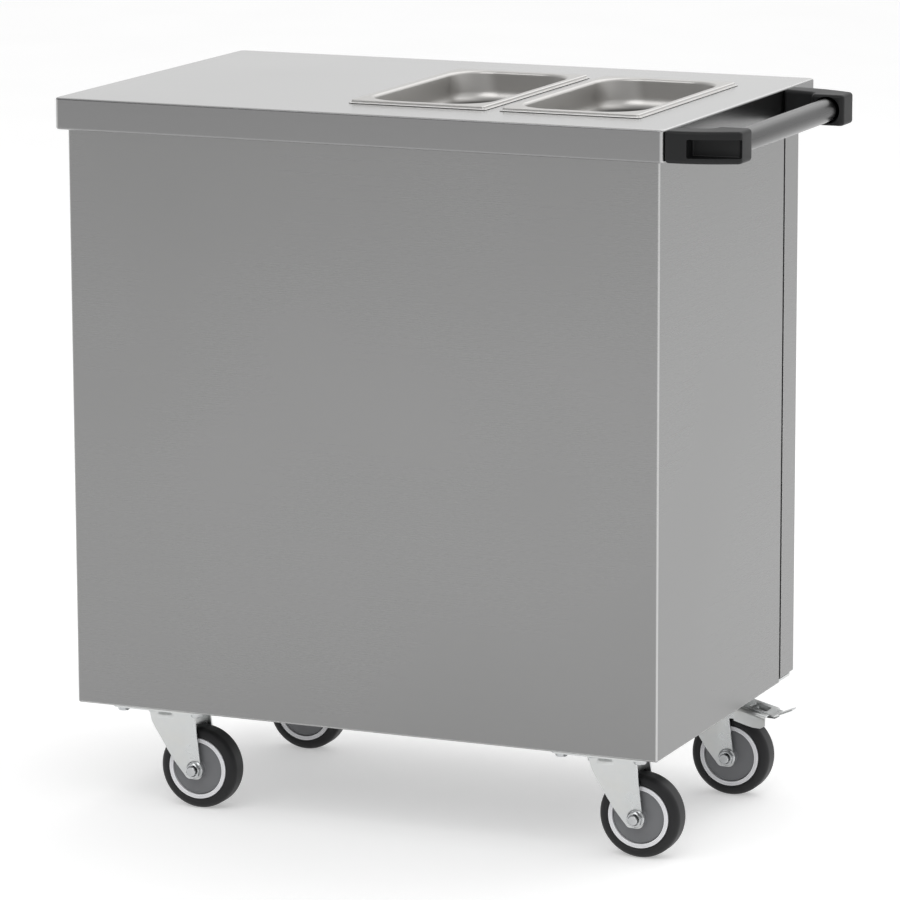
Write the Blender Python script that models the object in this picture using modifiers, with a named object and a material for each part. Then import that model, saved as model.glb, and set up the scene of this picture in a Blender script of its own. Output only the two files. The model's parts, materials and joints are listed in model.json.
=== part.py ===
"""Mobile steam table: a closed stainless cabinet on four swivel casters.

Two shallow food pans hang through the worktop into a heated water tank. The operator's
side has two thick hinged doors, and a push handle stands off the right-hand end.
Run with: blender --background --python part.py

Metres, +Z up. +X points to the handle end, +Y to the operator's side with the doors.
The origin is on the floor, under the middle of the whole unit.
"""
import bpy
import bmesh
import math
from mathutils import Matrix, Vector

MM = 0.001
GAP = 0.3 * MM                 # play left between pieces that touch

# ---- driving dimensions -----------------------------------------------------------
BODY_LENGTH = 750 * MM
BODY_DEPTH = 414 * MM          # front face to the rear edge of the end walls
BODY_BOTTOM = 128 * MM         # overall height of a caster
WORKTOP_HEIGHT = 864 * MM
LIP = 38 * MM                  # height of the worktop's folded edge
OVER_SIDE = 10 * MM            # how far the worktop stands out past the cabinet
OVER_FRONT = 15 * MM
OVER_BACK = 28 * MM            # past the outside of the doors
DOOR_GAP = 4 * MM
DOOR_THICK = 48 * MM
HANDLE_REACH = 95 * MM         # from the end wall to the outside of the handle
SHEET = 1.5 * MM
PAST = 40 * MM                 # how far a cutter runs past what it cuts

# The whole unit is centred on X and Y.
RIGHT = (BODY_LENGTH + OVER_SIDE + HANDLE_REACH) / 2 - HANDLE_REACH
LEFT = RIGHT - BODY_LENGTH
FRONT = -(BODY_DEPTH + DOOR_GAP + DOOR_THICK + OVER_BACK - OVER_FRONT) / 2
REAR = FRONT + BODY_DEPTH
DOOR_IN = REAR + DOOR_GAP
DOOR_OUT = DOOR_IN + DOOR_THICK
TOP_LEFT = LEFT - OVER_SIDE
TOP_RIGHT = RIGHT + OVER_SIDE
TOP_FRONT = FRONT - OVER_FRONT
TOP_BACK = DOOR_OUT + OVER_BACK
LIP_BOTTOM = WORKTOP_HEIGHT - LIP
UNDERSIDE = WORKTOP_HEIGHT - SHEET
MIDDLE = (LEFT + RIGHT) / 2

# food pans: one-third size, hung side by side near the handle end
PAN_W, PAN_L, PAN_DEEP = 175 * MM, 325 * MM, 40 * MM
PAN_MOUTH_W, PAN_MOUTH_L = 149 * MM, 299 * MM
PAN_CORNER, PAN_HEEL = 35 * MM, 16 * MM
PAN_SHEET = 1.0 * MM
PAN_EDGE = 4.5 * MM            # the rim's height above the worktop
PAN_SPACING = 191 * MM
PAN_Y = FRONT + 66 * MM + PAN_L / 2
PAN_X = {"right": RIGHT - 50 * MM - PAN_W / 2}
PAN_X["left"] = PAN_X["right"] - PAN_SPACING

# water tank
TANK_SIDE = 8 * MM             # water space round the pans
TANK_FLOOR = 775 * MM
TANK_FLANGE = 14 * MM
TANK_X = (PAN_X["left"] - PAN_MOUTH_W / 2 - TANK_SIDE, PAN_X["right"] + PAN_MOUTH_W / 2 + TANK_SIDE)
TANK_Y = (PAN_Y - PAN_MOUTH_L / 2 - TANK_SIDE, PAN_Y + PAN_MOUTH_L / 2 + TANK_SIDE)
DRAIN_X, DRAIN_Y = RIGHT - 90 * MM, REAR - 66 * MM
SPIGOT_R, SPIGOT_LOW = 11 * MM, 735 * MM
VALVE_Z = SPIGOT_LOW - 26 * MM
HEATER_R = 4.25 * MM
HEATER_Z = TANK_FLOOR + 16 * MM
HEATER_SPREAD = 60 * MM        # half the distance between the element's legs

# base and doors
FLOOR_Z = BODY_BOTTOM + 25 * MM    # the rails stand under the floor
DOOR_LOW, DOOR_HIGH = BODY_BOTTOM + 5 * MM, LIP_BOTTOM - 3 * MM
HINGE_IN = 10 * MM             # hinge axis in from the door's outer corner
PULL_IN = 38 * MM              # pull in from the door's free edge
PIN_R = 4 * MM

# handle
HANDLE_R = 14 * MM
HANDLE_X = RIGHT + 74 * MM
HANDLE_Z = WORKTOP_HEIGHT - LIP / 2
HANDLE_MIRROR = FRONT + 198 * MM   # the two brackets are alike about this plane
BOSS_FACE = 44 * MM            # bracket's inner face, from the cabinet's front face
SOCKET = 18 * MM

# casters, in their own frame: swivel axis at x = y = 0, floor at z = 0
WHEEL_R, WHEEL_W = 50 * MM, 32 * MM
TRAIL = 40 * MM
RIM_R = 37.5 * MM
AXLE_R = 6 * MM
LEG_IN, LEG_OUT = 19.5 * MM, 22.5 * MM
CROWN_LOW, CROWN_HIGH = 116 * MM, 119 * MM
PLATE_LOW, PLATE_HIGH = 124 * MM, BODY_BOTTOM - GAP
PLATE_L, PLATE_W = 120 * MM, 90 * MM
PEDAL_AXIS = (60 * MM, 104 * MM)
CASTER_X = {"left": RIGHT - 649 * MM, "right": RIGHT - 78 * MM}
CASTER_Y = {"front": FRONT + 53 * MM, "rear": FRONT + 357 * MM}

# control recess in the left-hand end
RECESS_Y, RECESS_Z = FRONT + 190 * MM, 770 * MM
RECESS_W, RECESS_H, RECESS_DEEP = 180 * MM, 80 * MM, 22 * MM
RECESS_FLOOR = LEFT + RECESS_DEEP
KNOB_Y, SWITCH_Y, LAMP_Y = (RECESS_Y + offset * MM for offset in (45, -15, -60))
SHAFT_R, LAMP_R = 3 * MM, 6 * MM
ROCKER_W, ROCKER_H = 13 * MM, 27 * MM
GLAND_R, GLAND_Y, GLAND_Z = 8 * MM, REAR - 60 * MM, BODY_BOTTOM + 80 * MM


# ---- scene and helpers ------------------------------------------------------------
for old in list(bpy.data.objects):
    bpy.data.objects.remove(old, do_unlink=True)

unit = bpy.data.collections.new("steam_table_unit")
tools = bpy.data.collections.new("cutters")
for group in (unit, tools):
    bpy.context.scene.collection.children.link(group)


def material(name, colour, roughness, metallic):
    """A Principled BSDF material of one colour."""
    made = bpy.data.materials.new(name)
    made.use_nodes = True
    shader = made.node_tree.nodes["Principled BSDF"]
    shader.inputs["Base Color"].default_value = (*colour, 1)
    shader.inputs["Roughness"].default_value = roughness
    shader.inputs["Metallic"].default_value = metallic
    return made


STEEL = ((0.50, 0.50, 0.49), 0.36, 1.0)
PAN_STEEL = ((0.62, 0.60, 0.57), 0.26, 1.0)
ZINC = ((0.66, 0.68, 0.68), 0.32, 1.0)
BLACK = ((0.025, 0.026, 0.028), 0.45, 0.0)
RUBBER = ((0.018, 0.018, 0.020), 0.60, 0.0)
GREY = ((0.13, 0.13, 0.14), 0.45, 0.0)
BRASS = ((0.60, 0.45, 0.20), 0.35, 1.0)
RED = ((0.55, 0.03, 0.02), 0.20, 0.0)


def new_object(mesh, name="tool"):
    """An object in the cutters' collection, until finish() makes it a part."""
    made = bpy.data.objects.new(name, mesh)
    made.hide_render = True
    made.display_type = "WIRE"
    tools.objects.link(made)
    return made


def from_bmesh(bm):
    bmesh.ops.recalc_face_normals(bm, faces=bm.faces)
    mesh = bpy.data.meshes.new("mesh")
    bm.to_mesh(mesh)
    bm.free()
    return new_object(mesh)


def box(low, high, corner=0.0, segments=3):
    """A box between two corners; corner rounds its four upright edges."""
    bm = bmesh.new()
    bmesh.ops.create_cube(bm, size=1)
    size = [b - a for a, b in zip(low, high)]
    bmesh.ops.scale(bm, vec=size, verts=bm.verts)
    bmesh.ops.translate(bm, vec=[(a + b) / 2 for a, b in zip(low, high)], verts=bm.verts)
    if corner:
        upright = [e for e in bm.edges if abs(e.verts[0].co.z - e.verts[1].co.z) > size[2] / 2]
        bmesh.ops.bevel(bm, geom=upright, offset=corner, segments=segments,
                        affect="EDGES", profile=0.5)
    return from_bmesh(bm)


def cylinder(radius, low, high, axis="Z", sides=24):
    """A round bar from low to high, two points on its axis, or a hexagon with 6 sides."""
    bm = bmesh.new()
    low, high = Vector(low), Vector(high)
    bmesh.ops.create_cone(bm, cap_ends=True, segments=sides, radius1=radius, radius2=radius,
                          depth=(high - low).length)
    turn = {"X": Matrix.Rotation(math.pi / 2, 4, "Y"), "Y": Matrix.Rotation(math.pi / 2, 4, "X"),
            "Z": Matrix.Identity(4)}[axis]
    bmesh.ops.transform(bm, matrix=Matrix.Translation((low + high) / 2) @ turn, verts=bm.verts)
    return from_bmesh(bm)


def prism(outline, low, high, axis="Z"):
    """A flat outline, extruded along Z from (x, y) points or along Y from (x, z) points."""
    bm = bmesh.new()
    place = (lambda p, t: (p[0], p[1], t)) if axis == "Z" else (lambda p, t: (p[0], t, p[1]))
    face = bm.faces.new([bm.verts.new(place(point, low)) for point in outline])
    grown = bmesh.ops.extrude_face_region(bm, geom=[face])["geom"]
    shift = Vector(place((0, 0), high - low))
    bmesh.ops.translate(bm, vec=shift, verts=[v for v in grown if isinstance(v, bmesh.types.BMVert)])
    return from_bmesh(bm)


def arc(centre, radius, start, end, steps):
    """Points along an arc, in degrees."""
    angles = [math.radians(start + (end - start) * i / steps) for i in range(steps + 1)]
    return [(centre[0] + radius * math.cos(a), centre[1] + radius * math.sin(a)) for a in angles]


def turned(profile, steps=32):
    """A closed (radius, height) profile turned about Z."""
    mesh = bpy.data.meshes.new("profile")
    mesh.from_pydata([(r, 0, z) for r, z in profile],
                     [(i, (i + 1) % len(profile)) for i in range(len(profile))], [])
    made = new_object(mesh)
    screw = made.modifiers.new("turn", "SCREW")
    screw.steps = steps
    screw.render_steps = steps
    screw.use_merge_vertices = True
    screw.merge_threshold = 0.00001
    screw.use_normal_calculate = True
    return made


def rod(points, radius):
    """A round rod along a list of points, as a mesh with welded caps."""
    curve = bpy.data.curves.new("path", "CURVE")
    curve.dimensions = "3D"
    curve.bevel_depth = radius
    curve.bevel_resolution = 2
    curve.use_fill_caps = True
    spline = curve.splines.new("POLY")
    spline.points.add(len(points) - 1)
    for slot, point in zip(spline.points, points):
        slot.co = (*point, 1)
    guide = new_object(curve)
    made = new_object(evaluated(guide))
    bpy.data.objects.remove(guide)
    bm = bmesh.new()
    bm.from_mesh(made.data)
    bmesh.ops.remove_doubles(bm, verts=bm.verts, dist=0.00001)
    bmesh.ops.recalc_face_normals(bm, faces=bm.faces)
    bm.to_mesh(made.data)
    bm.free()
    return made


def evaluated(obj):
    """The object's mesh with its modifiers applied."""
    bpy.context.view_layer.update()
    return bpy.data.meshes.new_from_object(obj.evaluated_get(bpy.context.evaluated_depsgraph_get()))


def combine(obj, others, operation):
    for other in others:
        step = obj.modifiers.new(operation.lower(), "BOOLEAN")
        step.operation = operation
        step.solver = "EXACT"
        step.object = other
    return obj


def cut(obj, *cutters):
    return combine(obj, cutters, "DIFFERENCE")


def add(obj, *others):
    return combine(obj, others, "UNION")


def bevel(obj, width, segments=2, angle=40):
    step = obj.modifiers.new("bevel", "BEVEL")
    step.width = width
    step.segments = segments
    step.limit_method = "ANGLE"
    step.angle_limit = math.radians(angle)
    return obj


def settle(obj):
    """Apply the modifiers, so that the mesh can be shared or used again."""
    mesh = evaluated(obj)
    obj.modifiers.clear()
    obj.data = mesh
    return obj


def pivot(name, location, parent=None):
    """An empty on a joint's axis."""
    made = bpy.data.objects.new(name, None)
    made.empty_display_size = 0.03
    made.location = location
    made.parent = parent
    unit.objects.link(made)
    bpy.context.view_layer.update()
    return made


def finish(obj, name, look, hung_on=None):
    """Turn a tool into a named part, hung on its joint's empty if it moves."""
    obj.name = obj.data.name = name
    obj.hide_render = False
    obj.display_type = "TEXTURED"
    tools.objects.unlink(obj)
    unit.objects.link(obj)
    obj.data.materials.clear()
    obj.data.materials.append(material(name, *look))
    if hung_on:
        obj.data.transform(Matrix.Translation(-hung_on.matrix_world.translation))
        obj.parent = hung_on
    obj.data.shade_smooth()
    obj.data.set_sharp_from_angle(angle=math.radians(35))
    return obj


def copy_part(mesh, name, look, parent, location=(0, 0, 0)):
    """A part that shares a finished mesh, placed by its parent empty."""
    made = bpy.data.objects.new(name, mesh.copy())
    made.data.materials.clear()
    made.data.materials.append(material(name, *look))
    made.parent = parent
    made.location = location
    made.data.shade_smooth()
    made.data.set_sharp_from_angle(angle=math.radians(35))
    unit.objects.link(made)
    return made


# ---- worktop ----------------------------------------------------------------------
def build_worktop():
    hem, outer_r, clearance = 8 * MM, 6 * MM, 4 * MM
    top = box((TOP_LEFT, TOP_FRONT, LIP_BOTTOM), (TOP_RIGHT, TOP_BACK, WORKTOP_HEIGHT), corner=outer_r)
    bevel(top, 2 * MM)
    hollow = box((TOP_LEFT + SHEET, TOP_FRONT + SHEET, LIP_BOTTOM + SHEET),
                 (TOP_RIGHT - SHEET, TOP_BACK - SHEET, UNDERSIDE), corner=outer_r - SHEET)
    mouth = box((TOP_LEFT + hem, TOP_FRONT + hem, LIP_BOTTOM - PAST),
                (TOP_RIGHT - hem, TOP_BACK - hem, LIP_BOTTOM + LIP / 2))
    cut(top, hollow, mouth)
    half_w, half_l = PAN_MOUTH_W / 2 + clearance, PAN_MOUTH_L / 2 + clearance
    for x in PAN_X.values():
        cut(top, box((x - half_w, PAN_Y - half_l, UNDERSIDE - LIP / 4),
                     (x + half_w, PAN_Y + half_l, WORKTOP_HEIGHT + PAST), corner=40 * MM, segments=5))
    finish(top, "worktop", STEEL)


# ---- cabinet ----------------------------------------------------------------------
def build_casing():
    """Front and both ends, folded from one sheet, with a return along the rear edges."""
    rear_return, fold = 20 * MM, 2.5 * MM
    plan = [(RIGHT, REAR), (LEFT, REAR)]
    plan += arc((LEFT + fold, FRONT + fold), fold, 180, 270, 2)
    plan += arc((RIGHT - fold, FRONT + fold), fold, 270, 360, 2)
    casing = prism(plan, BODY_BOTTOM, UNDERSIDE - GAP)
    above, below = WORKTOP_HEIGHT, BODY_BOTTOM - PAST
    inside = box((LEFT + SHEET, FRONT + SHEET, below), (RIGHT - SHEET, REAR - SHEET, above))
    doorway = box((LEFT + rear_return, FRONT + PAST, below), (RIGHT - rear_return, REAR + PAST, above))
    recess = box((LEFT - PAST, RECESS_Y - RECESS_W / 2, RECESS_Z - RECESS_H / 2),
                 (LEFT + PAST, RECESS_Y + RECESS_W / 2, RECESS_Z + RECESS_H / 2))
    gland_hole = cylinder(GLAND_R + 0.4 * MM, (LEFT - PAST, GLAND_Y, GLAND_Z),
                          (LEFT + PAST, GLAND_Y, GLAND_Z), "X", 16)
    finish(cut(casing, inside, doorway, recess, gland_hole), "casing", STEEL)


def build_base():
    """Floor tray on two channel rails, which carry the casters."""
    edge, wall = 30 * MM, 2 * MM
    rail_top = FLOOR_Z - GAP
    low = (LEFT + SHEET + GAP, FRONT + SHEET + GAP, FLOOR_Z)
    high = (RIGHT - SHEET - GAP, REAR - SHEET - GAP, FLOOR_Z + edge)
    hollow = box((low[0] + SHEET, low[1] + SHEET, FLOOR_Z + SHEET),
                 (high[0] - SHEET, high[1] + SHEET, high[2] + SHEET))
    finish(cut(box(low, high), hollow), "floor_pan", STEEL)
    for side, x in CASTER_X.items():
        near, far = x - PLATE_L / 2, x + PLATE_L / 2
        rail = box((near, low[1], BODY_BOTTOM), (far, high[1], rail_top))
        trough = box((near + wall, low[1] - wall, BODY_BOTTOM + wall),
                     (far - wall, high[1] + wall, FLOOR_Z + wall))
        finish(cut(rail, trough), "base_rail_" + side, STEEL)


def build_rear_frame():
    """Door surround inside the casing's rear returns, with a post between the doors."""
    bar, deep, clear = 24 * MM, 20 * MM, 3.6 * MM
    back = REAR - SHEET - GAP
    low = (LEFT + clear, back - deep, FLOOR_Z + SHEET + GAP)
    high = (RIGHT - clear, back, UNDERSIDE - GAP)
    frame = box(low, high)
    for near, far in ((low[0] + bar, MIDDLE - bar), (MIDDLE + bar, high[0] - bar)):
        cut(frame, box((near, back - 2 * deep, low[2] + bar), (far, back + deep, high[2] - bar)))
    finish(frame, "rear_frame", STEEL)


def build_shelf():
    """A folded tray on two angle runners."""
    shelf_z, edge, ledge = 420 * MM, 22 * MM, 25 * MM
    front, back = FRONT + 8 * MM, REAR - 30 * MM
    wall_gap = SHEET + GAP
    side_gap = wall_gap + 2 * MM
    runner_top = shelf_z - edge
    for side, wall, inward in (("left", LEFT, 1), ("right", RIGHT, -1)):
        near, far = sorted((wall + inward * wall_gap, wall + inward * (wall_gap + ledge)))
        runner = box((near, front, runner_top - ledge), (far, back, runner_top))
        near, far = sorted((wall + inward * (wall_gap + SHEET), wall + inward * (wall_gap + 2 * ledge)))
        under = box((near, front - edge, runner_top - 2 * ledge), (far, back + edge, runner_top - SHEET))
        finish(cut(runner, under), "shelf_runner_" + side, STEEL)
    low = (LEFT + side_gap, front, runner_top + GAP)
    high = (RIGHT - side_gap, back, shelf_z)
    hollow = box((low[0] + SHEET, low[1] + SHEET, low[2] - edge),
                 (high[0] - SHEET, high[1] - SHEET, shelf_z - SHEET))
    finish(cut(box(low, high), hollow), "shelf", STEEL)


# ---- pans, tank and heater --------------------------------------------------------
def rounded_tub(x, spread, low, high):
    """A tub round a pan's mouth, spread outwards, with rounded corners and a rounded heel."""
    half_w, half_l = PAN_MOUTH_W / 2 + spread, PAN_MOUTH_L / 2 + spread
    heel = PAN_HEEL + spread
    tub = box((x - half_w, PAN_Y - half_l, low), (x + half_w, PAN_Y + half_l, high),
              corner=PAN_CORNER + spread, segments=5)
    bm = bmesh.new()
    bm.from_mesh(tub.data)
    floor = [e for e in bm.edges if all(v.co.z < low + heel / 2 for v in e.verts)]
    bmesh.ops.bevel(bm, geom=floor, offset=heel, segments=3, affect="EDGES", profile=0.5)
    bm.to_mesh(tub.data)
    bm.free()
    return tub


def rim_box(x, inset, low, high, corner):
    """A box round a pan's middle, drawn in from the outline of its rim."""
    half_w, half_l = PAN_W / 2 - inset, PAN_L / 2 - inset
    return box((x - half_w, PAN_Y - half_l, low), (x + half_w, PAN_Y + half_l, high), corner, segments=2)


def build_pans():
    """Each pan is a stepped rim, hollow underneath, round a tub."""
    flange, step, corner = 1.3 * MM, 2.5 * MM, 5 * MM
    rim_low = WORKTOP_HEIGHT + GAP
    rim_top = WORKTOP_HEIGHT + PAN_EDGE
    base = rim_top - PAN_DEEP
    for side, x in PAN_X.items():
        pan = rim_box(x, 0, rim_low, rim_low + flange, corner)
        upper = bevel(rim_box(x, step, rim_low + flange / 2, rim_top, corner), 1.2 * MM, 2, 60)
        channel = rim_box(x, step + PAN_SHEET, rim_low - step, rim_top - PAN_SHEET, corner - PAN_SHEET)
        cut(channel, rounded_tub(x, PAN_SHEET, base, rim_top + PAST))
        cut(add(pan, upper), channel)
        add(pan, rounded_tub(x, PAN_SHEET, base, rim_top - PAN_SHEET))
        cut(pan, rounded_tub(x, 0, base + PAN_SHEET, rim_top + PAST))
        lift = pivot("pan_%s_pivot" % side, (x, PAN_Y, WORKTOP_HEIGHT))
        finish(settle(pan), "pan_" + side, PAN_STEEL, lift)


def build_tank():
    rim, corner, back_flange = UNDERSIDE - GAP, 20 * MM, 4 * MM
    tank = box((TANK_X[0], TANK_Y[0], TANK_FLOOR), (TANK_X[1], TANK_Y[1], rim), corner, segments=4)
    flange = box((TANK_X[0] - TANK_FLANGE, TANK_Y[0] - TANK_FLANGE, rim - SHEET),
                 (TANK_X[1] + TANK_FLANGE, TANK_Y[1] + back_flange, rim))
    spigot = cylinder(SPIGOT_R, (DRAIN_X, DRAIN_Y, SPIGOT_LOW), (DRAIN_X, DRAIN_Y, TANK_FLOOR + SHEET / 2))
    hollow = box((TANK_X[0] + SHEET, TANK_Y[0] + SHEET, TANK_FLOOR + SHEET),
                 (TANK_X[1] - SHEET, TANK_Y[1] - SHEET, rim + PAST), corner - SHEET, segments=4)
    drain = cylinder(SPIGOT_R - SHEET, (DRAIN_X, DRAIN_Y, SPIGOT_LOW - PAST), (DRAIN_X, DRAIN_Y, rim))
    cut(add(tank, flange, spigot), hollow, drain)
    for y in (PAN_Y - HEATER_SPREAD, PAN_Y + HEATER_SPREAD):
        cut(tank, cylinder(HEATER_R + GAP, (TANK_X[0] - PAST, y, HEATER_Z), (TANK_X[0] + PAST, y, HEATER_Z),
                           "X", 16))
    finish(tank, "water_tank", STEEL)


def build_heater():
    """A U-shaped immersion element whose two cold ends leave through the tank's left wall."""
    turn_x = TANK_X[1] - 40 * MM - HEATER_SPREAD
    start = TANK_X[0] - 22 * MM
    flat = [(start, PAN_Y - HEATER_SPREAD)]
    flat += arc((turn_x, PAN_Y), HEATER_SPREAD, -90, 90, 10)
    flat += [(start, PAN_Y + HEATER_SPREAD)]
    finish(rod([(x, y, HEATER_Z) for x, y in flat], HEATER_R), "heating_element", ZINC)


def build_jacket():
    """Insulation tray round the tank, with a slot for the wiring and a hole for the drain."""
    side, below, back = 30 * MM, 24 * MM, 6 * MM
    slot_w, slot_h = 60 * MM, 20 * MM
    low = (TANK_X[0] - side, TANK_Y[0] - side, TANK_FLOOR - below)
    high = (TANK_X[1] + side, TANK_Y[1] + back, UNDERSIDE - GAP)
    hollow = box([c + SHEET for c in low], (high[0] - SHEET, high[1] - SHEET, high[2] + PAST))
    wires = box((low[0] - PAST, PAN_Y - slot_w / 2, HEATER_Z - slot_h / 2),
                (low[0] + side / 2, PAN_Y + slot_w / 2, HEATER_Z + slot_h / 2))
    drain = cylinder(SPIGOT_R + 2 * MM, (DRAIN_X, DRAIN_Y, low[2] - PAST),
                     (DRAIN_X, DRAIN_Y, low[2] + below / 2))
    finish(cut(box(low, high), hollow, wires, drain), "tank_jacket", STEEL)


def build_drain():
    """Ball valve under the tank, with a quarter-turn lever on its operator's side."""
    body_r, nozzle_r, stem_r, bore_r = 15 * MM, 9 * MM, 5 * MM, 6.5 * MM
    stem_y = DRAIN_Y + 22 * MM
    lever_near, lever_far, reach = stem_y + GAP, stem_y + 4 * MM, 75 * MM
    at = (DRAIN_X, DRAIN_Y)
    valve = cylinder(body_r, (*at, VALVE_Z - 18 * MM), (*at, SPIGOT_LOW - GAP))
    nozzle = cylinder(nozzle_r, (*at, VALVE_Z - 45 * MM), (*at, VALVE_Z))
    stem = cylinder(stem_r, (DRAIN_X, DRAIN_Y, VALVE_Z), (DRAIN_X, stem_y, VALVE_Z), "Y", 16)
    outlet = cylinder(bore_r, (*at, VALVE_Z - 60 * MM), (*at, VALVE_Z - 12 * MM), sides=16)
    finish(cut(add(valve, nozzle, stem), outlet), "drain_valve", BRASS)
    outline = arc((DRAIN_X, VALVE_Z), 8 * MM, 90, -90, 8)
    outline += arc((DRAIN_X - reach, VALVE_Z), 6 * MM, -90, -270, 8)
    turn = pivot("drain_lever_pivot", (DRAIN_X, lever_near, VALVE_Z))
    finish(bevel(prism(outline, lever_near, lever_far, "Y"), 1 * MM), "drain_lever", RED, turn)


# ---- controls ---------------------------------------------------------------------
def across(y, radius, near, far, sides=20):
    """A round bar through the control tray, along X."""
    return cylinder(radius, (near, y, RECESS_Z), (far, y, RECESS_Z), "X", sides)


def build_panel():
    """The tray that the controls stand in, open to the left."""
    half_w, half_h = RECESS_W / 2 - GAP, RECESS_H / 2 - GAP
    tray = box((LEFT, RECESS_Y - half_w, RECESS_Z - half_h),
               (RECESS_FLOOR, RECESS_Y + half_w, RECESS_Z + half_h))
    hollow = box((LEFT - PAST, RECESS_Y - half_w + SHEET, RECESS_Z - half_h + SHEET),
                 (RECESS_FLOOR - SHEET, RECESS_Y + half_w - SHEET, RECESS_Z + half_h - SHEET))
    cut(tray, hollow)
    play_w, play_h = GAP, 1 * MM
    switch_hole = box((LEFT, SWITCH_Y - ROCKER_W / 2 - play_w, RECESS_Z - ROCKER_H / 2 - play_h),
                      (RECESS_FLOOR + PAST, SWITCH_Y + ROCKER_W / 2 + play_w, RECESS_Z + ROCKER_H / 2 + play_h))
    cut(tray, across(KNOB_Y, SHAFT_R + GAP, LEFT, RECESS_FLOOR + PAST),
        across(LAMP_Y, LAMP_R + GAP, LEFT, RECESS_FLOOR + PAST), switch_hole)
    finish(tray, "control_panel", STEEL)


def build_knob():
    """A skirted knob with a raised pointer, on the shaft of the thermostat behind the tray."""
    inner = RECESS_FLOOR - SHEET - GAP
    front = inner - 16 * MM
    knob_pivot = pivot("thermostat_knob_pivot", (RECESS_FLOOR, KNOB_Y, RECESS_Z))
    skirt = across(KNOB_Y, 22 * MM, inner - 3 * MM, inner, 24)
    grip = across(KNOB_Y, 17 * MM, front, inner - 2 * MM, 24)
    shaft = across(KNOB_Y, SHAFT_R, inner - 1 * MM, RECESS_FLOOR + 4 * MM, 12)
    pointer = box((front - 1 * MM, KNOB_Y - 1.5 * MM, RECESS_Z + 4 * MM),
                  (front + 1 * MM, KNOB_Y + 1.5 * MM, RECESS_Z + 16 * MM))
    finish(settle(add(skirt, grip, shaft, pointer)), "thermostat_knob", BLACK, knob_pivot)
    body = box((RECESS_FLOOR + 5 * MM, KNOB_Y - 20 * MM, RECESS_Z - 20 * MM),
               (RECESS_FLOOR + 38 * MM, KNOB_Y + 20 * MM, RECESS_Z + 20 * MM))
    finish(bevel(body, 2 * MM), "thermostat", BLACK)


def build_switch():
    thick, tilt = 12 * MM, 6
    rocker_pivot = pivot("rocker_switch_pivot", (RECESS_FLOOR - SHEET / 2, SWITCH_Y, RECESS_Z))
    rocker = box((-thick / 2, -ROCKER_W / 2, -ROCKER_H / 2), (thick / 2, ROCKER_W / 2, ROCKER_H / 2))
    rocker.data.transform(Matrix.Rotation(math.radians(-tilt), 4, "Y"))
    rocker.data.transform(Matrix.Translation(rocker_pivot.location))
    finish(rocker, "rocker_switch", BLACK, rocker_pivot)


def build_lamp():
    inner = RECESS_FLOOR - SHEET - GAP
    lens = bevel(across(LAMP_Y, LAMP_R + 2 * MM, inner - 5 * MM, inner, 16), 1.5 * MM, 1)
    stem = across(LAMP_Y, LAMP_R, inner - 2 * MM, RECESS_FLOOR + 12 * MM, 12)
    finish(add(lens, stem), "pilot_lamp", RED)


def build_gland():
    """Cable gland low on the left-hand end: hexagon, collar and hollow thread."""
    outside = LEFT - GAP

    def along(radius, near, far, sides=24):
        return cylinder(radius, (near, GLAND_Y, GLAND_Z), (far, GLAND_Y, GLAND_Z), "X", sides)
    nut = along(12 * MM, outside - 5 * MM, outside, 6)
    collar = along(9 * MM, outside - 9 * MM, outside - 4 * MM)
    thread = along(GLAND_R, outside - 1 * MM, LEFT + 14 * MM)
    bore = along(4.5 * MM, LEFT - PAST, LEFT + PAST, 16)
    finish(cut(add(nut, collar, thread), bore), "cable_gland", BLACK)


# ---- doors ------------------------------------------------------------------------
def build_door(side, hinge_edge, inward):
    """hinge_edge is the cabinet's end on this side; inward is +1 or -1 along X."""
    skin, split = 1.2 * MM, 2.5 * MM
    inset = skin + GAP
    free_edge = MIDDLE - inward * split
    x0, x1 = sorted((hinge_edge, free_edge))
    axis_x, axis_y = hinge_edge + inward * HINGE_IN, DOOR_OUT - HINGE_IN
    hinge = pivot("door_%s_pivot" % side, (axis_x, axis_y, DOOR_LOW))
    shell = bevel(box((x0, DOOR_IN, DOOR_LOW), (x1, DOOR_OUT, DOOR_HIGH)), 1.5 * MM)
    hollow = box((x0 + skin, DOOR_IN - PAST, DOOR_LOW + skin), (x1 - skin, DOOR_OUT - skin, DOOR_HIGH - skin))
    pin_way = cylinder(PIN_R + GAP, (axis_x, axis_y, DOOR_LOW - PAST),
                       (axis_x, axis_y, DOOR_HIGH + PAST), sides=16)
    finish(settle(cut(shell, hollow, pin_way)), "door_%s_shell" % side, STEEL, hinge)
    liner = box((x0 + inset, DOOR_IN, DOOR_LOW + inset), (x1 - inset, DOOR_IN + skin, DOOR_HIGH - inset))
    finish(liner, "door_%s_liner" % side, STEEL, hinge)
    finish(door_gasket(x0, x1), "door_%s_gasket" % side, RUBBER, hinge)
    finish(door_pull(free_edge - inward * PULL_IN), "door_%s_pull" % side, STEEL, hinge)
    build_hinges(side, hinge_edge, inward, (axis_x, axis_y))


def door_gasket(x0, x1):
    """A soft frame on the liner, a little in from the door's edges."""
    edge, width, soft = 8 * MM, 11 * MM, 3.2 * MM
    low = (x0 + edge, DOOR_IN - GAP - soft, FLOOR_Z + 6 * MM)
    high = (x1 - edge, DOOR_IN - GAP, DOOR_HIGH - edge)
    window = box((low[0] + width, low[1] - soft, low[2] + width),
                 (high[0] - width, high[1] + soft, high[2] - width))
    return settle(cut(box(low, high), window))


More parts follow.
